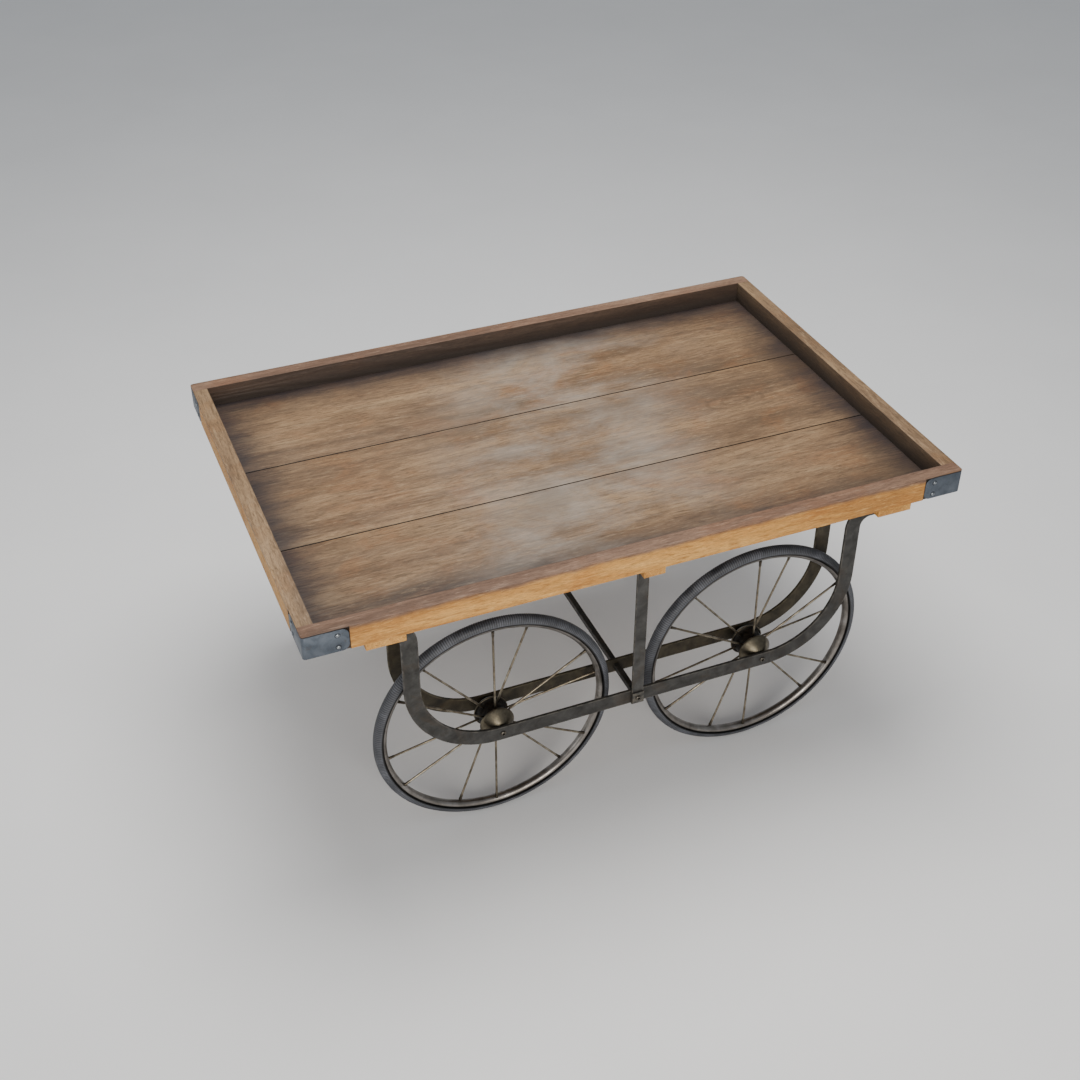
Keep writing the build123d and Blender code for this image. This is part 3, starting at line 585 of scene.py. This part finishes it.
def scaled_finish(name, scale_dark, scale_mid, scale_pale, rust, bare):
    """Mill-scaled steel: mottled dark skin, rusty drifts, worn edges read from the piece's wear."""
    finish, tree, shader, place = new_finish(name, 0.35, 0.4)
    mottle = blotch(tree, place, 26.0, (1, 1, 1), (0, 0, 0), 7.0, 0.65, 0.4)
    grit = blotch(tree, place, 700.0, (1, 1, 1), (0, 0, 0), 3.0, 0.6)
    colour = tones(tree, mottle, [(0.33, scale_dark), (0.5, scale_mid), (0.66, scale_pale)])
    drift = blotch(tree, place, 11.0, (1, 1, 1), (3, 1, 2), 6.0, 0.65, 0.8)
    colour = tint(tree, fade(tree, drift, 0.50, 0.70, 0.0, 0.45), colour, rust)
    colour = tint(tree, fade(tree, grit, 0.60, 0.72, 0.0, 0.45), colour, scale_dark)
    wear = add_node(tree, "Attribute", attribute_name="wear").outputs["Fac"]
    chips = fade(tree, blotch(tree, place, 60.0, (1, 1, 1), (1, 1, 1), 4.0), 0.40, 0.62, 0.05, 0.8)
    worn = calc(tree, "MULTIPLY", wear, chips)
    colour = tint(tree, worn, colour, bare)
    rough = fade(tree, mottle, 0.3, 0.7, 0.64, 0.46)
    coat(tree, shader, colour, calc(tree, "MULTIPLY_ADD", worn, -0.12, rough))
    emboss(tree, shader, calc(tree, "MULTIPLY_ADD", grit, 0.5, mottle), 0.2, 0.0005)
    return finish


def bar_section(shape, origin, wide_way, thin_way, wide, thin, edge):
    """Rounded strip section with wear marked on its corners; returns its loop of edges."""
    wear = shape.verts.layers.float.get("wear") or shape.verts.layers.float.new("wear")
    loop = []
    for w, t, first in ((1, 1, True), (-1, 1, False), (-1, -1, True), (1, -1, False)):
        corner = [
            (wide / 2 - 3 * edge, thin / 2, 0.0), (wide / 2 - edge, thin / 2, 1.0),
            (wide / 2 - 0.3 * edge, thin / 2 - 0.3 * edge, 1.0),
            (wide / 2, thin / 2 - edge, 1.0), (wide / 2, thin / 2 - 2 * edge, 0.4),
        ]
        for a, b, mark in corner if not first else reversed(corner):
            vert = shape.verts.new(Vector(origin) + Vector(wide_way) * w * a + Vector(thin_way) * t * b)
            vert[wear] = mark
            loop.append(vert)
    return [shape.edges.new((a, b)) for a, b in zip(loop, loop[1:] + loop[:1])]


def push(shape, ring, vec):
    """Run a section straight on by vec; returns the new ring."""
    made = bmesh.ops.extrude_edge_only(shape, edges=ring)["geom"]
    moved = [g for g in made if isinstance(g, bmesh.types.BMVert)]
    bmesh.ops.translate(shape, vec=vec, verts=moved)
    held = set(moved)
    return [g for g in made if isinstance(g, bmesh.types.BMEdge) and all(v in held for v in g.verts)]


def bend(shape, ring, centre, axis, angle, steps):
    """Bend a section round an axis; returns the new ring."""
    made = bmesh.ops.spin(
        shape, geom=ring, cent=centre, axis=axis, dvec=(0, 0, 0), angle=angle, steps=steps,
        use_merge=False, use_normal_flip=False, use_duplicate=False,
    )
    return [g for g in made["geom_last"] if isinstance(g, bmesh.types.BMEdge)]


bar_finish = scaled_finish(
    "bar_mill_scale", hue("272624"), hue("353432"), hue("42413f"), hue("403325"), hue("59554f")
)
rusty_bar_finish = scaled_finish(
    "bar_mill_scale_rusty", hue("26231c"), hue("373125"), hue("463f30"), hue("493c27"), hue("5b5443")
)
lip_run = bar_lip_x - bar_leg_x - bar_flare
bar_kinds = (("outer", outer_bar_y, bar_finish), ("inner", inner_bar_y, rusty_bar_finish))
for side_name, side in sides:
    for bar_name, bar_y, steel in bar_kinds:
        bar = bmesh.new()
        start = (-bar_lip_x, side * bar_y, bar_top_z)
        first = bar_section(bar, start, (0, 0, 1), (0, 1, 0), bar_width, bar_thick, bar_edge)
        ring = push(bar, first, (lip_run, 0, 0))
        ring = bend(bar, ring, (-bar_leg_x - bar_flare, 0, bar_top_z - bar_flare), (0, 1, 0), pi / 2, 10)
        ring = push(bar, ring, (0, 0, bar_low_z + bar_bend + bar_flare - bar_top_z))
        ring = bend(bar, ring, (-bar_leg_x + bar_bend, 0, bar_low_z + bar_bend), (0, 1, 0), -pi / 2, 28)
        ring = push(bar, ring, (2 * (bar_leg_x - bar_bend), 0, 0))
        ring = bend(bar, ring, (bar_leg_x - bar_bend, 0, bar_low_z + bar_bend), (0, 1, 0), -pi / 2, 28)
        ring = push(bar, ring, (0, 0, bar_top_z - bar_low_z - bar_bend - bar_flare))
        ring = bend(bar, ring, (bar_leg_x + bar_flare, 0, bar_top_z - bar_flare), (0, 1, 0), pi / 2, 10)
        ring = push(bar, ring, (lip_run, 0, 0))
        for end_ring in (first, ring):
            bmesh.ops.contextual_create(bar, geom=end_ring)
        finish_piece(
            bar, f"bar_{side_name}_{bar_name}", steel, "cart_frame",
            [f"frame_bar_{side_name}_{bar_name}"],
        )
finish_node("frame_angles", bar_finish)

# ------------------------------------------------------------------ struts and foot plates
# A 34 by 6 mm strap each side drops from the middle beam to the bar, its top bent in as a foot.
# A small square plate clamps its lower end; both are the bars' steel, a little more rubbed.
strut_wide, strut_thin = 0.034, 0.006
strut_y, strut_foot_in = 0.544, 0.501
strut_low, strut_high = 0.3135, 0.791
strut_bend = 0.008
strut_edge = 0.0009
strut_finish = scaled_finish(
    "strut_mill_scale", hue("2b2a28"), hue("3a3937"), hue("474644"), hue("43372a"), hue("5d584f")
)
for side_name, side in sides:
    strut = bmesh.new()
    start = (0, side * strut_y, strut_low)
    first = bar_section(strut, start, (1, 0, 0), (0, 1, 0), strut_wide, strut_thin, strut_edge)
    ring = push(strut, first, (0, 0, strut_high - strut_bend - strut_low))
    bend_centre = (0, side * (strut_y - strut_bend), strut_high - strut_bend)
    ring = bend(strut, ring, bend_centre, (1, 0, 0), side * pi / 2, 8)
    ring = push(strut, ring, (0, side * (strut_foot_in - strut_y + strut_bend), 0))
    for end_ring in (first, ring):
        bmesh.ops.contextual_create(strut, geom=end_ring)
    finish_piece(
        strut, f"strap_{side_name}", strut_finish, "cart_frame", [f"strut_{side_name}"]
    )

plate_back, plate_high, plate_edge = 0.547, 0.037, 0.0012
plate_flank, plate_slope = 0.0044, 0.0006
plates = bmesh.new()
for _, side in sides:
    start = (0, side * plate_back, bar_low_z)
    ring = bar_section(plates, start, (1, 0, 0), (0, 0, 1), strut_wide, plate_high, plate_edge)
    bmesh.ops.contextual_create(plates, geom=ring)
    ring = push(plates, ring, (0, side * plate_flank, 0))
    cover = bmesh.ops.contextual_create(plates, geom=ring)["faces"]
    bmesh.ops.inset_region(plates, faces=cover, thickness=plate_slope, depth=0.0, use_even_offset=True)
    raised = list({v for f in cover for v in f.verts})
    bmesh.ops.translate(plates, vec=(0, side * plate_slope, 0), verts=raised)
finish_piece(plates, "foot_plates", strut_finish, "cart_frame", ["strut_plates"])

# ------------------------------------------------------------------ cross tie
# One 16 mm square bar runs under the cart between the outer bars, through slots in the inner ones.
# It is the bars' scaled steel, and the bolts of the foot plates screw into its ends.
tie_half, tie_size, tie_edge = 0.533, 0.016, 0.0011
tie = bmesh.new()
start = (0, -tie_half, bar_low_z)
first = bar_section(tie, start, (1, 0, 0), (0, 0, 1), tie_size, tie_size, tie_edge)
ring = push(tie, first, (0, 2 * tie_half, 0))
for end_ring in (first, ring):
    bmesh.ops.contextual_create(tie, geom=end_ring)
finish_piece(tie, "square_tie", bar_finish, "cart_frame", ["cross_tie"])

# ------------------------------------------------------------------ button bolts
# Domed hexagon-socket bolts, 16 mm heads: one at each end of every axle and one on each foot plate.
# Blackened once, the domes are rubbed back to steel and the sockets hold dirt.
bolt_head = 0.008
bolt_rise = 0.0044
bolt_socket = 0.0031
bolt_socket_depth = 0.0026
bolt = bmesh.new()
dome_inner, dome_foot = bolt_socket * 1.25, 0.0008
dome = [(bolt_head, 0.0), (bolt_head, 0.0006)]
for a in (0.15, 0.45, 0.75, 1.05, 1.35):
    height = dome_foot + (bolt_rise - dome_foot) * sin(a)
    dome.append((dome_inner + (bolt_head - dome_inner) * cos(a), height))
dome += [(bolt_socket * 1.2, bolt_rise), (bolt_socket, bolt_rise - 0.0003)]
dome.append((bolt_socket, bolt_rise - bolt_socket_depth))
turned(bolt, [(0.0, 0.0)] + dome + [(0.0, bolt_rise - bolt_socket_depth - 0.0004)], 36)
for vert in bolt.verts:
    reach = (vert.co.x**2 + vert.co.y**2) ** 0.5
    if 1e-6 < reach < bolt_socket * 1.05 and vert.co.z > 0.0005:
        turn = (atan2(vert.co.y, vert.co.x) % (pi / 3)) - pi / 6
        flat = cos(pi / 6) / cos(turn)
        vert.co.x *= flat
        vert.co.y *= flat


def blackened_finish(name):
    """Blackened bolt: rubbed on the dome, black inside the socket, by the bolt's own mark."""
    finish, tree, shader, place = new_finish(name, 0.9)
    clouds = blotch(tree, place, 300.0, (1, 1, 1), (0, 0, 0), 4.0, 0.6)
    colour = tones(tree, clouds, [(0.36, hue("37342f")), (0.62, hue("6c665d"))])
    inside = add_node(tree, "Attribute", attribute_name="socket").outputs["Fac"]
    colour = tint(tree, inside, colour, hue("0d0c0b"))
    coat(tree, shader, colour, fade(tree, clouds, 0.3, 0.7, 0.42, 0.26))
    return finish


socket_mark = bolt.verts.layers.float.new("socket")
for vert in bolt.verts:
    within = (vert.co.x**2 + vert.co.y**2) ** 0.5 < bolt_socket * 1.02
    vert[socket_mark] = 1.0 if within and 0.0005 < vert.co.z < bolt_rise - 0.0002 else 0.0
bolt_finish = blackened_finish("bolt_black_rubbed")
axle_x = 0.387
plate_front = 0.552
axle_bolts = bmesh.new()
for x in (axle_x, -axle_x):
    for _, side in sides:
        for bar_y, way in ((outer_bar_y, 1), (inner_bar_y, -1)):
            face = (x, side * (bar_y + way * bar_thick / 2), bar_low_z)
            turn = Matrix.Rotation(0.3 + x + bar_y, 4, "Z")
            placed(bolt, axle_bolts, facing(face, (0, side * way, 0)) @ turn)
finish_piece(
    axle_bolts, "axle_bolt_heads", bolt_finish, "cart_frame", ["axle_screws"], crease=35
)
plate_bolts = bmesh.new()
for _, side in sides:
    placed(bolt, plate_bolts, facing((0, side * plate_front, bar_low_z), (0, side, 0)))
finish_piece(
    plate_bolts, "plate_bolt_heads", bolt_finish, "cart_frame", ["tie_bolts"], crease=35
)
bolt.free()
finish_node("angle_bolts", dull_screws)

# ------------------------------------------------------------------ axles and collars
# Fixed 16 mm axles bolted between the bars, with a collar at each end to keep the hub off the bars.
# Turned steel, dark with the oil of the hubs.
axle_finish = rubbed_finish("axle_steel_oiled", hue("8e8a83"), hue("3f3b37"), 0.3)
for node in ("axle_collars", "axle_front_left", "axle_front_right", "axle_rear_left", "axle_rear_right"):
    finish_node(node, axle_finish)

# ------------------------------------------------------------------ tyres
# Solid rubber tyres, 33 mm across and 671 mm over all, bedded in the rims.
# Moulded with about 330 fine ribs across the tread; grey with dust on top of the blue-black rubber.
wheel_z = 0.3355
wheel_y = 0.471
tyre_line = 0.319
tyre_round = 0.0165
tyre_ribs = 330
rib_depth = 0.0011
wheel_places = []
for end_name, end in ends:
    for side_name, side in sides:
        at_axle = Matrix.Translation((end * axle_x, side * wheel_y, wheel_z))
        wheel_places.append((f"{end_name}_{side_name}", at_axle @ Matrix.Scale(side, 4, (0, 1, 0))))


def wheel_turned(shape, profile, steps):
    """Spin a closed profile of (offset along the axle, radius) points round the axle line."""
    points = [shape.verts.new((radius, offset, 0)) for offset, radius in profile]
    line = [shape.edges.new(pair) for pair in zip(points, points[1:] + points[:1])]
    bmesh.ops.spin(
        shape, geom=points + line, cent=(0, 0, 0), axis=(0, 1, 0), dvec=(0, 0, 0), angle=tau, steps=steps,
        use_merge=True, use_normal_flip=False, use_duplicate=False,
    )
    bmesh.ops.remove_doubles(shape, verts=shape.verts, dist=1e-7)


def one_wheel_piece(shape, corner, where, name, finish, nodes, crease=40.0):
    """Copy of a wheel part, put at its own axle."""
    copy = bmesh.new()
    placed(shape, copy, where)
    return finish_piece(copy, f"{corner}_{name}", finish, f"wheel_{corner}", nodes, crease)


def axle_reach(tree, place):
    """Distance from the nearest axle line, for finishes that change towards the rim."""
    x, y, z = add_node(tree, "SeparateXYZ", {0: place}).outputs
    across = calc(tree, "SUBTRACT", calc(tree, "ABSOLUTE", x), axle_x)
    up = calc(tree, "SUBTRACT", z, wheel_z)
    total = calc(tree, "ADD", calc(tree, "MULTIPLY", across, across), calc(tree, "MULTIPLY", up, up))
    return calc(tree, "SQRT", total)


tyre = bmesh.new()
groove = tyre.verts.layers.float.new("groove")
flank = [radians(a) for a in range(-14, 195, 13)]
tyre_profile = [(tyre_round * cos(a), tyre_line + tyre_round * sin(a)) for a in flank]
tyre_profile += [(-0.0102, 0.3152), (-0.0088, 0.3080), (0.0, 0.3045), (0.0088, 0.3080), (0.0102, 0.3152)]
wheel_turned(tyre, tyre_profile, 3 * tyre_ribs)
for vert in tyre.verts:
    reach = (vert.co.x**2 + vert.co.z**2) ** 0.5
    if reach > tyre_line - 0.003:
        column = round((atan2(vert.co.z, vert.co.x) % tau) / tau * 3 * tyre_ribs)
        if column % 3 == 0:
            lift = min(1.0, (reach - tyre_line + 0.003) / 0.006)
            section_middle = Vector((vert.co.x, 0, vert.co.z)) * (tyre_line / reach)
            vert.co -= (vert.co - section_middle).normalized() * rib_depth * lift
            vert[groove] = lift

tyre_finish, tree, shader, place = new_finish("tyre_rubber_dusty", 0.0, 0.4)
dust = blotch(tree, place, 14.0, (1, 1, 1), (0, 0, 0), 7.0, 0.65, 0.5)
specks = blotch(tree, place, 260.0, (1, 1, 1), (2, 2, 2), 3.0, 0.6)
colour = tones(tree, dust, [(0.34, hue("37393e")), (0.52, hue("4e5056")), (0.70, hue("66686f"))])
colour = tint(tree, fade(tree, specks, 0.60, 0.75, 0.0, 0.35), colour, hue("7a7872"))
# Painted shade: the grooves between the ribs are darkened nearly black.
sunk_line = add_node(tree, "Attribute", attribute_name="groove").outputs["Fac"]
colour = tint(tree, calc(tree, "MULTIPLY", sunk_line, 0.8), colour, hue("0c0c0e"))
# Painted shade: a dark line round the tyre where it meets the rim.
crease = fade(tree, axle_reach(tree, place), 0.3190, 0.3158, 0.0, 0.92)
colour = tint(tree, crease, colour, hue("0d0d0e"))
coat(tree, shader, colour, fade(tree, dust, 0.3, 0.7, 0.42, 0.66))
emboss(tree, shader, specks, 0.2, 0.0004)
for corner, where in wheel_places:
    one_wheel_piece(tyre, corner, where, "rubber", tyre_finish, [f"{corner}_tyre"], 60)
tyre.free()

# ------------------------------------------------------------------ wheel rims
# One strip of steel rolled to an open channel and welded; 2 mm wall, rolled edges at 314 mm radius.
# Polished by the road grit to a satin silver with brownish haze.
channel_line = 0.31213
channel_round = 0.01313
channel_wall = 0.0020
channel_edge = 0.314
channel_half = 0.013
edge_crown = 0.3146
rim = bmesh.new()
open_angle = atan2(channel_edge - channel_line, channel_half)
outside = [open_angle - (pi + 2 * open_angle) * k / 20 for k in range(21)]
channel = [(channel_round * cos(a), channel_line + channel_round * sin(a)) for a in outside]
channel.append((-channel_round + channel_wall / 2, edge_crown))
inner_round = channel_round - channel_wall
channel += [(inner_round * cos(a), channel_line + inner_round * sin(a)) for a in reversed(outside)]
channel.append((channel_round - channel_wall / 2, edge_crown))
wheel_turned(rim, channel, 180)

rim_metal, tree, shader, place = new_finish("wheel_rim_polished", 1.0)
haze = blotch(tree, place, 18.0, (1, 1, 1), (0, 0, 0), 7.0, 0.62, 0.5)
scratch = blotch(tree, place, 500.0, (1, 0.15, 1), (0, 0, 0), 3.0, 0.6)
colour = tones(tree, haze, [(0.34, hue("6b6661")), (0.52, hue("87827d")), (0.70, hue("a29e9a"))])
colour = tint(tree, fade(tree, scratch, 0.58, 0.72, 0.0, 0.35), colour, hue("5b534b"))
# Painted shade: a dark band on the rim's edges where the tyre meets it.
rim_lip = fade(tree, axle_reach(tree, place), 0.3090, 0.3112, 0.0, 0.93)
colour = tint(tree, rim_lip, colour, hue("0f0e0e"))
coat(tree, shader, colour, fade(tree, haze, 0.3, 0.7, 0.38, 0.30))
emboss(tree, shader, scratch, 0.12, 0.0002)
for corner, where in wheel_places:
    one_wheel_piece(rim, corner, where, "rolled_rim", rim_metal, [f"{corner}_rim"], 50)
rim.free()

# ------------------------------------------------------------------ spokes
# Twelve 6 mm steel rods to a wheel, in pairs that lean to one flange and the other.
# Each ends at the rim in a short tapered nipple; the rods have a brassy, worn skin.
spoke_radius = 0.003
spoke_hub_r, spoke_rim_r = 0.033, 0.3008
spoke_hub_y, spoke_rim_y = 0.012, 0.007
spokes = bmesh.new()
for pair in range(6):
    for lead, way in ((10.0, -1), (30.0, 1)):
        turn = radians(lead + 60.0 * pair)
        start = Vector((spoke_hub_r * cos(turn), way * spoke_hub_y, spoke_hub_r * sin(turn)))
        stop = Vector((spoke_rim_r * cos(turn), way * spoke_rim_y, spoke_rim_r * sin(turn)))
        reach = (stop - start).length
        rod = bmesh.new()
        outline = [(0, 0), (spoke_radius * 0.92, 0), (spoke_radius * 0.92, 0.012), (spoke_radius, 0.020)]
        outline += [(spoke_radius, reach / 2), (spoke_radius, reach - 0.018)]
        outline += [(spoke_radius * 1.22, reach - 0.0165), (spoke_radius * 1.30, reach - 0.006)]
        outline += [(spoke_radius * 1.45, reach - 0.0035), (spoke_radius * 1.45, reach), (0, reach)]
        turned(rod, outline, 12)
        placed(rod, spokes, facing(start, stop - start))
        rod.free()

spoke_finish, tree, shader, place = new_finish("spoke_brassy", 0.95)
skin = blotch(tree, place, 45.0, (1, 1, 1), (0, 0, 0), 6.0, 0.62)
colour = tones(tree, skin, [(0.34, hue("5a5246")), (0.52, hue("827867")), (0.70, hue("aca492"))])
near_rim = fade(tree, axle_reach(tree, place), 0.276, 0.288, 0.0, 0.75)
near_hub = fade(tree, axle_reach(tree, place), 0.075, 0.045, 0.0, 0.65)
colour = tint(tree, calc(tree, "MAXIMUM", near_rim, near_hub), colour, hue("2b2621"))
coat(tree, shader, colour, fade(tree, skin, 0.3, 0.7, 0.46, 0.28))
emboss(tree, shader, skin, 0.15, 0.0002)
for corner, where in wheel_places:
    one_wheel_piece(spokes, corner, where, "rods", spoke_finish, [f"{corner}_spokes"], 50)
spokes.free()

# ------------------------------------------------------------------ hubs
# Cast drum between two flanges, with a neck each side that takes the bushes.
# The spokes end in the drum; the casting is black with oil and browned by rust.
half_hub = [(0.0045, 0.0400), (0.0060, 0.0392), (0.0205, 0.0400), (0.0220, 0.0412), (0.0220, 0.0457)]
half_hub += [(0.0228, 0.0465), (0.0252, 0.0465), (0.0260, 0.0455), (0.0262, 0.0150)]
half_hub += [(0.0552, 0.0148), (0.0552, 0.0125)]
hub = bmesh.new()
wheel_turned(hub, [(-offset, radius) for offset, radius in reversed(half_hub)] + half_hub, 72)
hub_finish, tree, shader, place = new_finish("hub_iron_oily", 0.6)
cast = blotch(tree, place, 90.0, (1, 1, 1), (0, 0, 0), 6.0, 0.65)
grime = blotch(tree, place, 30.0, (1, 1, 1), (5, 5, 5), 5.0, 0.6)
colour = tones(tree, cast, [(0.34, hue("12100e")), (0.55, hue("26221e")), (0.72, hue("3d372f"))])
colour = tint(tree, fade(tree, grime, 0.55, 0.7, 0.0, 0.5), colour, hue("33261a"))
coat(tree, shader, colour, fade(tree, grime, 0.3, 0.7, 0.34, 0.58))
emboss(tree, shader, cast, 0.4, 0.0005)
for corner, where in wheel_places:
    one_wheel_piece(hub, corner, where, "drum", hub_finish, [f"{corner}_hub"])
hub.free()

# ------------------------------------------------------------------ hub caps
# Two spun steel bells to a hub, wide edge pressed over the flange, small end round the neck.
# Satin steel with a brassy tinge and fine turning marks round the axle.
caps = bmesh.new()
for way in (1, -1):
    bell = [(0.0222, 0.0466), (0.0222, 0.0474), (0.0228, 0.0480), (0.0252, 0.0480), (0.0262, 0.0476)]
    bell += [(0.0300, 0.0445), (0.0345, 0.0405), (0.0390, 0.0362), (0.0435, 0.0317), (0.0480, 0.0269)]
    bell += [(0.0520, 0.0222), (0.0546, 0.0188), (0.0554, 0.0172), (0.0552, 0.0151), (0.0536, 0.0151)]
    bell += [(0.0505, 0.0209), (0.0460, 0.0262), (0.0410, 0.0314), (0.0350, 0.0372), (0.0290, 0.0428)]
    bell.append((0.0266, 0.0450))
    wheel_turned(caps, [(way * offset, radius) for offset, radius in bell], 72)
cap_finish, tree, shader, place = new_finish("hub_cap_satin", 1.0)
smears = blotch(tree, place, 60.0, (1, 1, 1), (0, 0, 0), 6.0, 0.6)
turning_marks = 9000.0
marks = calc(tree, "SINE", calc(tree, "MULTIPLY", axle_reach(tree, place), turning_marks))
colour = tones(tree, smears, [(0.34, hue("5c564a")), (0.52, hue("6b6455")), (0.70, hue("7a7260"))])
coat(tree, shader, colour, fade(tree, smears, 0.3, 0.7, 0.42, 0.30))
emboss(tree, shader, calc(tree, "MULTIPLY_ADD", smears, 1.5, marks), 0.12, 0.0002)
for corner, where in wheel_places:
    one_wheel_piece(caps, corner, where, "bell_caps", cap_finish, [f"{corner}_hub_caps"], 50)
caps.free()

# ------------------------------------------------------------------ bushes
# Bronze sleeves pressed in the hub necks, brown with oil.
# Only their ends show, beside the collars.
bush_finish = rubbed_finish("bush_bronze_oiled", hue("b08a55"), hue("6b4d2a"), 0.3)
for corner, _ in wheel_places:
    finish_node(f"{corner}_bushes", bush_finish)

# ------------------------------------------------------------------ studio
# Pale floor, a broad soft light overhead, a fill by the camera and an even pale surround.
floor_shape = bmesh.new()
floor_reach = 60.0
bmesh.ops.create_grid(floor_shape, x_segments=2, y_segments=2, size=floor_reach)
floor_mesh = bpy.data.meshes.new("floor")
floor_shape.to_mesh(floor_mesh)
floor_shape.free()
floor = bpy.data.objects.new("floor", floor_mesh)
bpy.context.scene.collection.objects.link(floor)
floor_finish, tree, shader, place = new_finish("floor_pale", 0.0)
shade = tones(tree, blotch(tree, place, 1.5), [(0.3, hue("eeeeee")), (0.7, hue("f2f2f2"))])
tree.links.new(shade, shader.inputs["Base Color"])
shader.inputs["Roughness"].default_value = 0.9
floor_mesh.materials.append(floor_finish)

world = bpy.data.worlds.new("surround")
world.use_nodes = True
world.node_tree.nodes["Background"].inputs["Color"].default_value = (0.86, 0.9, 0.95, 1.0)
world.node_tree.nodes["Background"].inputs["Strength"].default_value = 0.42
bpy.context.scene.world = world


def soft_light(name, where, aim, size, watts, colour):
    """Round area lamp that looks at a point."""
    lamp = bpy.data.lights.new(name, "AREA")
    lamp.shape = "DISK"
    lamp.size = size
    lamp.energy = watts
    lamp.color = colour
    holder = bpy.data.objects.new(name, lamp)
    holder.location = where
    holder.rotation_euler = (Vector(aim) - Vector(where)).to_track_quat("-Z", "Y").to_euler()
    bpy.context.scene.collection.objects.link(holder)


soft_light("overhead", (0.1, 0.6, 4.2), (0, 0, 0.8), 3.0, 155.0, (1.0, 0.98, 0.95))
soft_light("front_fill", (-0.8, -4.6, 1.7), (0, 0, 0.7), 2.4, 130.0, (1.0, 0.95, 0.88))
soft_light("left_fill", (-4.4, -0.8, 1.6), (0, 0, 0.6), 2.2, 25.0, (1.0, 0.97, 0.93))

# ------------------------------------------------------------------ camera
# Stands off the rear right corner, some three metres up, looking down on the tray.
lens = bpy.data.cameras.new("camera")
lens.lens = 50.0
lens.sensor_width = 36.0
camera = bpy.data.objects.new("camera", lens)
camera.location = (-1.384, -3.2203, 3.107)
camera.rotation_euler = (radians(53.213), 0.0, radians(-22.344))
bpy.context.scene.collection.objects.link(camera)
bpy.context.scene.camera = camera
